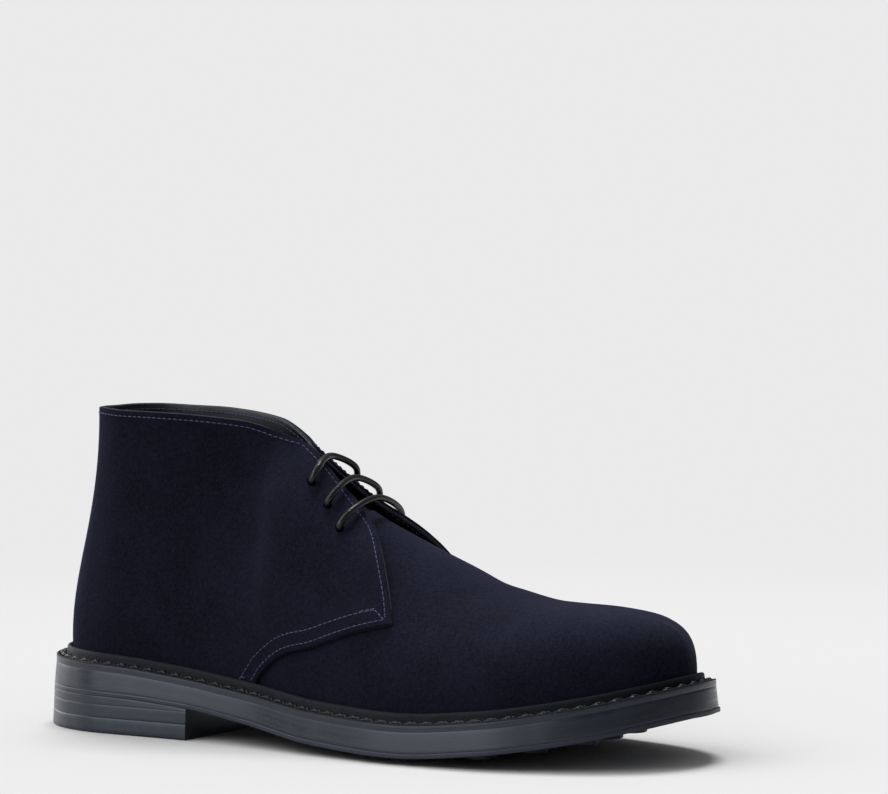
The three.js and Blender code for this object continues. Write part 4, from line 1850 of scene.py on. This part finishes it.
    def solved(self, turn: Array, height: Array, move: Array, down: Array,
               turned: Array) -> tuple[Array, Array]:
        """Returns the places that a small move in space leads to.

        Args:
            turn: signed turns before it.
            height: heights before it.
            move: the move of each place, in millimetres.
            down: what a height less by HEIGHT_STEP moves.
            turned: what a turn nearer the heel by TURN_STEP moves.

        Returns:
            Signed turns and heights after it.
        """
        aa = np.sum(down * down, -1)
        bb = np.sum(turned * turned, -1)
        ab = np.sum(down * turned, -1)
        am, bm = np.sum(down * move, -1), np.sum(turned * move, -1)
        det = np.maximum(aa * bb - ab * ab, TINY)
        p = (am * bb - bm * ab) / det
        q = (bm * aa - am * ab) / det
        return turn - np.sign(turn) * TURN_STEP * q, height - HEIGHT_STEP * p

    def build(self, suede: Material, under: Material, lining: Material,
              grip: Material, thread: Material, cut: Material,
              holes: Sequence["Eyelet"]) -> None:
        """Makes and places the upper's pieces.

        Args:
            suede: the finish of vamp and quarters.
            under: the finish of the tongue, the navy suede painted darker as painted shade under the facings.
            lining: the finish of the lining.
            grip: the finish of the heel grip inside.
            thread: the finish of the upper's stitches.
            cut: the finish of the raw leather between suede and lining.
            holes: the lace holes.
        """
        quarters = self.quarter_shell(0.0, self.suede_thickness).make("quarters", self.placement, suede)
        self.punched(quarters, holes)
        settle(quarters, Slot.SUEDE, "upper")
        inner = self.quarter_shell(self.suede_thickness + self.lining_gap, self.wall)
        inner_piece = inner.make("quarter_lining", self.placement, lining)
        self.punched(inner_piece, holes)
        settle(inner_piece, Slot.LINING)
        settle(self.vamp().make("vamp", self.placement, suede), Slot.SUEDE)
        # The tongue's darker suede is painted shade under the facings.
        settle(self.tongue().make("tongue_leaf", self.placement, under), Slot.TONGUE, "tongue")
        settle(self.heel_grip().make("heel_grip", self.placement, grip), Slot.SUEDE)
        settle(self.stitching().make("upper_stitches", self.placement, thread), Slot.SUEDE)
        settle(self.raw_edge().make("raw_edge", self.placement, cut), Slot.LINING)

    def raw_edge(self) -> Draft:
        """Returns the thin line of raw leather that shows between suede and lining along the free edge.

        Returns:
            The draft.
        """
        end = float(self.last.turn_at(self.last.corner)) * self.raw_reach
        turn = np.linspace(-end, end, 700)
        height = self.last.free_height(self.last.station_at(turn))
        depth = np.full(turn.shape, self.suede_thickness + self.lining_gap / 2)
        draft = Draft()
        draft.add_tube(self.last.quarter(turn, height, depth), self.raw_radius, self.stitch_sides)
        return draft

    def heel_grip(self) -> Draft:
        """Makes the suede patch inside the back of the heel.

        Returns:
            The draft.
        """
        low, high = self.grip_heights
        turn = np.linspace(-self.grip_reach, self.grip_reach, 61)[:, None]
        rounding = self.grip_rounding * (np.abs(turn) / self.grip_reach) ** 2
        height = low + (high - rounding - low) * np.linspace(0, 1, 30)[None]
        depths = (self.wall, self.wall + self.grip_thickness)
        draft = Draft()
        draft.add_shell(*[self.last.quarter(turn, height, np.full(height.shape, depth)) for depth in depths])
        return draft


@dataclass(frozen=True)
class Eyelet:
    """A pair of punched lace holes, with the crown of the bar of lace between them."""

    x: float
    height: float
    crown_ahead: float
    crown_rise: float

    def seat(self, last: Last, side: Side, wall: float) -> tuple[Array, Array]:
        """Returns the hole's centre and its outward axis.

        Args:
            last: the boot's form.
            side: which quarter.
            wall: thickness of the quarter.

        Returns:
            The centre and a unit vector.
        """
        turn = np.array([float(last.turn_at(self.x)) * side.value])
        height = np.array([self.height])
        outer = last.quarter(turn, height, np.zeros(1))[0]
        inner = last.quarter(turn, height, np.full(1, wall))[0]
        return (outer + inner) / 2, unit(outer - inner)


EYELETS = (
    Eyelet(133.5, 0.805, 0.0, 11.6),
    Eyelet(141.5, 0.765, 2.5, 11.6),
    Eyelet(149.7, 0.71, 4.5, 12.6),
)


@dataclass
class Lace:
    """A round waxed lace in three bars, run through the holes and along the inside of the facings."""

    last: Last
    placement: Placement
    wall: float = 2.4
    radius: float = 1.35
    sides: int = 16
    steps: int = 420
    tuck: float = 2.9
    exits: tuple[float, ...] = (-0.8, 1.0, 3.4)
    turn_out: float = 8.0
    turn_share: float = 0.25
    end_tuck: Triple = (-2.0, 1.0, 1.5)

    def bar(self, hole: Eyelet) -> list[Array]:
        """Returns the places a bar passes, from inside the outer quarter to inside the inner one.

        Args:
            hole: the pair of holes that it joins.

        Returns:
            Points (x, y, z) in millimetres.
        """
        near, near_axis = hole.seat(self.last, Side.OUTER, self.wall)
        far, far_axis = hole.seat(self.last, Side.INNER, self.wall)
        crown = (near + far) / 2 + np.array([hole.crown_ahead, 0, hole.crown_rise])

        def leaving(centre: Array, axis: Array) -> list[Array]:
            """Returns the places just inside, in and above a hole.

            Args:
                centre: the hole's centre.
                axis: its outward unit vector.

            Returns:
                Those places, from the inside out.
            """
            above = centre + axis * self.turn_out
            exits = [centre + axis * reach for reach in self.exits]
            return exits + [above + (crown - above) * self.turn_share]

        return leaving(near, near_axis) + [crown] + leaving(far, far_axis)[::-1]

    def inside(self, hole: Eyelet, side: Side) -> Array:
        """Returns the place behind a hole where the lace turns along the facing."""
        centre, axis = hole.seat(self.last, side, self.wall)
        return centre - axis * self.tuck

    def path(self) -> list[Array]:
        """Returns the lace's whole run, from the top outer hole down to the lowest bar.

        Returns:
            The places it passes.
        """
        top, middle, low = EYELETS
        return [
            self.inside(top, Side.OUTER) + np.array(self.end_tuck), self.inside(top, Side.OUTER),
            *self.bar(top), self.inside(top, Side.INNER), self.inside(middle, Side.INNER),
            *self.bar(middle)[::-1], self.inside(middle, Side.OUTER), self.inside(low, Side.OUTER),
            *self.bar(low), self.inside(low, Side.INNER),
        ]

    def build(self, cord: Material) -> None:
        """Makes and places the lace.

        Args:
            cord: its finish.
        """
        draft = Draft()
        run = smooth_path(self.path(), self.steps)
        LOG.info("lace length: %.0f mm", run_length(run)[-1])
        draft.add_tube(run, self.radius, self.sides)
        settle(draft.make("lace", self.placement, cord), Slot.LACE, "lace_bar_1", "lace_bar_2", "lace_bar_3")


# ---------------------------------------------------------------------------
# Studio
# ---------------------------------------------------------------------------


@dataclass(frozen=True)
class Studio:
    """Pale floor, soft light from all round with a brighter box above and to the left, and the camera."""

    camera_place: Triple = (0.846149, -1.281905, 0.217974)
    camera_pitch: float = 87.026
    camera_roll: float = 0.540
    camera_heading: float = 32.222
    lens: float = 155.13
    sensor: float = 36.0
    clip: Pair = (0.05, 100.0)
    backdrop: float = 0.823
    floor_size: float = 60.0
    floor_bounce: float = 0.2
    floor_near: float = 0.35
    floor_far: float = 0.9
    floor_tone: float = 0.78
    sky_low: float = 0.10
    sky_high: float = 0.33
    sky_range: Pair = (-0.05, 0.8)
    shine: float = 2.5
    shine_range: Pair = (0.80, 0.95)
    shine_from: tuple[Triple, ...] = ((-0.95, 0.15, 0.25), (-0.38, -0.9, 0.22))
    box_strength: float = 1.5
    box_range: Pair = (0.80, 0.93)
    box_direction: Triple = (-0.45, -0.45, 0.77)
    sun_strength: float = 1.75
    sun_softness: float = 24.0
    sun_tilt: Pair = (-16.0, -7.0)

    def camera(self) -> None:
        """Places the camera."""
        data = bpy.data.cameras.new("camera")
        data.lens, data.sensor_width = self.lens, self.sensor
        data.clip_start, data.clip_end = self.clip
        camera = bpy.data.objects.new("camera", data)
        camera.location = self.camera_place
        angles = (self.camera_pitch, self.camera_roll, self.camera_heading)
        camera.rotation_euler = [math.radians(angle) for angle in angles]
        bpy.context.scene.collection.objects.link(camera)
        bpy.context.scene.camera = camera

    def floor(self) -> None:
        """Lays the pale floor."""
        half = self.floor_size / 2
        corners = [(-half, -half, 0), (half, -half, 0), (half, half, 0), (-half, half, 0)]
        mesh = bpy.data.meshes.new("floor")
        mesh.from_pydata(corners, [], [(0, 1, 2, 3)])
        material, nodes, shader = started("pale_floor")
        nodes.feed(shader, {
            "Base Color": (self.floor_tone,) * 3,
            "Roughness": 1.0,
            "Specular IOR Level": 0.0,
        })
        place = nodes.add("ShaderNodeTexCoord").outputs["Object"]
        reach = nodes.add("ShaderNodeVectorMath", {0: place}, operation="LENGTH").outputs["Value"]
        plain = nodes.add("ShaderNodeEmission", {"Color": (self.backdrop,) * 3, "Strength": 1.0})
        far = nodes.ranged(reach, self.floor_near, self.floor_far)
        blend = nodes.add("ShaderNodeMixShader", {0: far, 1: shader.outputs[0], 2: plain.outputs[0]})
        quiet = nodes.add("ShaderNodeBsdfDiffuse", {"Color": (self.floor_bounce,) * 3})
        bounced = nodes.add("ShaderNodeLightPath").outputs["Is Diffuse Ray"]
        whole = nodes.add("ShaderNodeMixShader", {0: bounced, 1: blend.outputs[0], 2: quiet.outputs[0]})
        sheet = next(node for node in nodes.tree.nodes if node.type == "OUTPUT_MATERIAL")
        nodes.feed(sheet, {"Surface": whole.outputs[0]})
        mesh.materials.append(material)
        floor = bpy.data.objects.new("floor", mesh)
        bpy.context.scene.collection.objects.link(floor)

    def sky(self) -> None:
        """Sets the soft light from all round and the plain backdrop."""
        world = bpy.data.worlds.new("studio")
        world.use_nodes = True
        world.node_tree.nodes.clear()
        nodes = Nodes(world.node_tree)
        way = nodes.add("ShaderNodeTexCoord").outputs["Generated"]
        split = nodes.add("ShaderNodeSeparateXYZ", {"Vector": way})
        base = nodes.ranged(split.outputs["Z"], *self.sky_range, self.sky_low, self.sky_high)
        path = nodes.add("ShaderNodeLightPath").outputs
        box = self.patch(nodes, way, self.box_direction, self.box_range, self.box_strength)
        total = nodes.summed(base, box)
        for direction in self.shine_from:
            glow = self.patch(nodes, way, direction, self.shine_range, self.shine)
            total = nodes.summed(total, nodes.math("MULTIPLY", glow, path["Is Glossy Ray"]))
        light = nodes.add("ShaderNodeBackground", {"Color": (1.0, 1.0, 1.0), "Strength": total})
        plain = nodes.add("ShaderNodeBackground", {"Color": (self.backdrop,) * 3, "Strength": 1.0})
        seen = path["Is Camera Ray"]
        mix = nodes.add("ShaderNodeMixShader", {0: seen, 1: light.outputs[0], 2: plain.outputs[0]})
        nodes.add("ShaderNodeOutputWorld", {"Surface": mix.outputs[0]})
        bpy.context.scene.world = world

    def patch(self, nodes: Nodes, way: Socket, direction: Triple, spread: Pair, strength: float) -> Socket:
        """Returns a soft round patch of light in the sky.

        Args:
            nodes: the sky's nodes.
            way: the direction looked in.
            direction: where the patch is.
            spread: the cosines between which it rises from nothing to full.
            strength: how bright it is.

        Returns:
            The light at each direction.
        """
        towards = tuple(Vector(direction).normalized())
        facing = nodes.add("ShaderNodeVectorMath", {0: way, 1: towards}, operation="DOT_PRODUCT")
        return nodes.ranged(facing.outputs["Value"], *spread, 0.0, strength)

    def sun(self) -> None:
        """Adds the wide overhead light that draws the soft shadow under the boot."""
        data = bpy.data.lights.new("overhead", "SUN")
        data.energy = self.sun_strength
        data.angle = math.radians(self.sun_softness)
        lamp = bpy.data.objects.new("overhead", data)
        lamp.rotation_euler = (*[math.radians(angle) for angle in self.sun_tilt], 0.0)
        bpy.context.scene.collection.objects.link(lamp)

    def build(self) -> None:
        """Sets up the whole studio."""
        bpy.context.scene.view_settings.view_transform = "Standard"
        self.camera()
        self.floor()
        self.sky()
        self.sun()


def main() -> None:
    """Builds the boot and the studio."""
    logging.basicConfig(level=logging.INFO, format="%(name)s %(message)s")
    last = Last()
    placement = Placement.from_frame(last)
    LOG.info("shift in metres: %s", placement.shift)
    Studio().build()
    edge = BurnishedEdge("stained_edge").material()
    welt = SmoothLeather("welt_leather", base=(0.0035, 0.0038, 0.005), worn=(0.008, 0.0085, 0.011),
                         roughness=0.55, cells=1500.0, specular=0.14, shine_tint=(0.7, 0.8, 1.0)).material()
    rubber = Rubber("outsole_rubber").material()
    lift = Rubber("top_piece_rubber", base=(0.0085, 0.0100, 0.0150), dusty=(0.021, 0.024, 0.033),
                  roughness=0.32).material()
    lining = SmoothLeather("black_lining", worn=(0.020, 0.021, 0.025), specular=0.35).material()
    suede = Suede("navy_suede").material()
    # Painted shade: the tongue's suede is the navy suede painted darker and greyer for the deep shade under
    # the facings.
    under = Suede("tongue_suede", root=(0.006, 0.006, 0.010), tip=(0.014, 0.014, 0.024),
                  sheen=0.15).material()
    grip = Suede("heel_grip_suede", root=(0.010, 0.010, 0.012), tip=(0.024, 0.024, 0.028),
                 sheen=0.2).material()
    # The threads and the lace carry painted shade in the grooves of their twist and a painted highlight on
    # its ridges.
    thread = Thread("violet_thread").material()
    waxed = Thread("waxed_welt_thread", valley=(0.003, 0.003, 0.004), crown=(0.012, 0.012, 0.015),
                   roughness=0.35, turns=2600.0, depth=0.0004, specular=0.22).material()
    cut = SmoothLeather("cut_edge", base=(0.035, 0.037, 0.045), worn=(0.060, 0.063, 0.075),
                        roughness=0.7).material()
    cord = Thread("black_cord", valley=(0.003, 0.003, 0.004), crown=(0.006, 0.006, 0.008),
                  roughness=0.30, turns=4200.0, lean=2.0, depth=0.00004, coat=0.05, specular=0.3).material()
    Sole(last, placement).build(edge, rubber, lift, lining)
    Welt(last, placement).build(welt, edge, waxed)
    Upper(last, placement).build(suede, under, lining, grip, thread, cut, EYELETS)
    Lace(last, placement).build(cord)


if __name__ == "__main__":
    main()
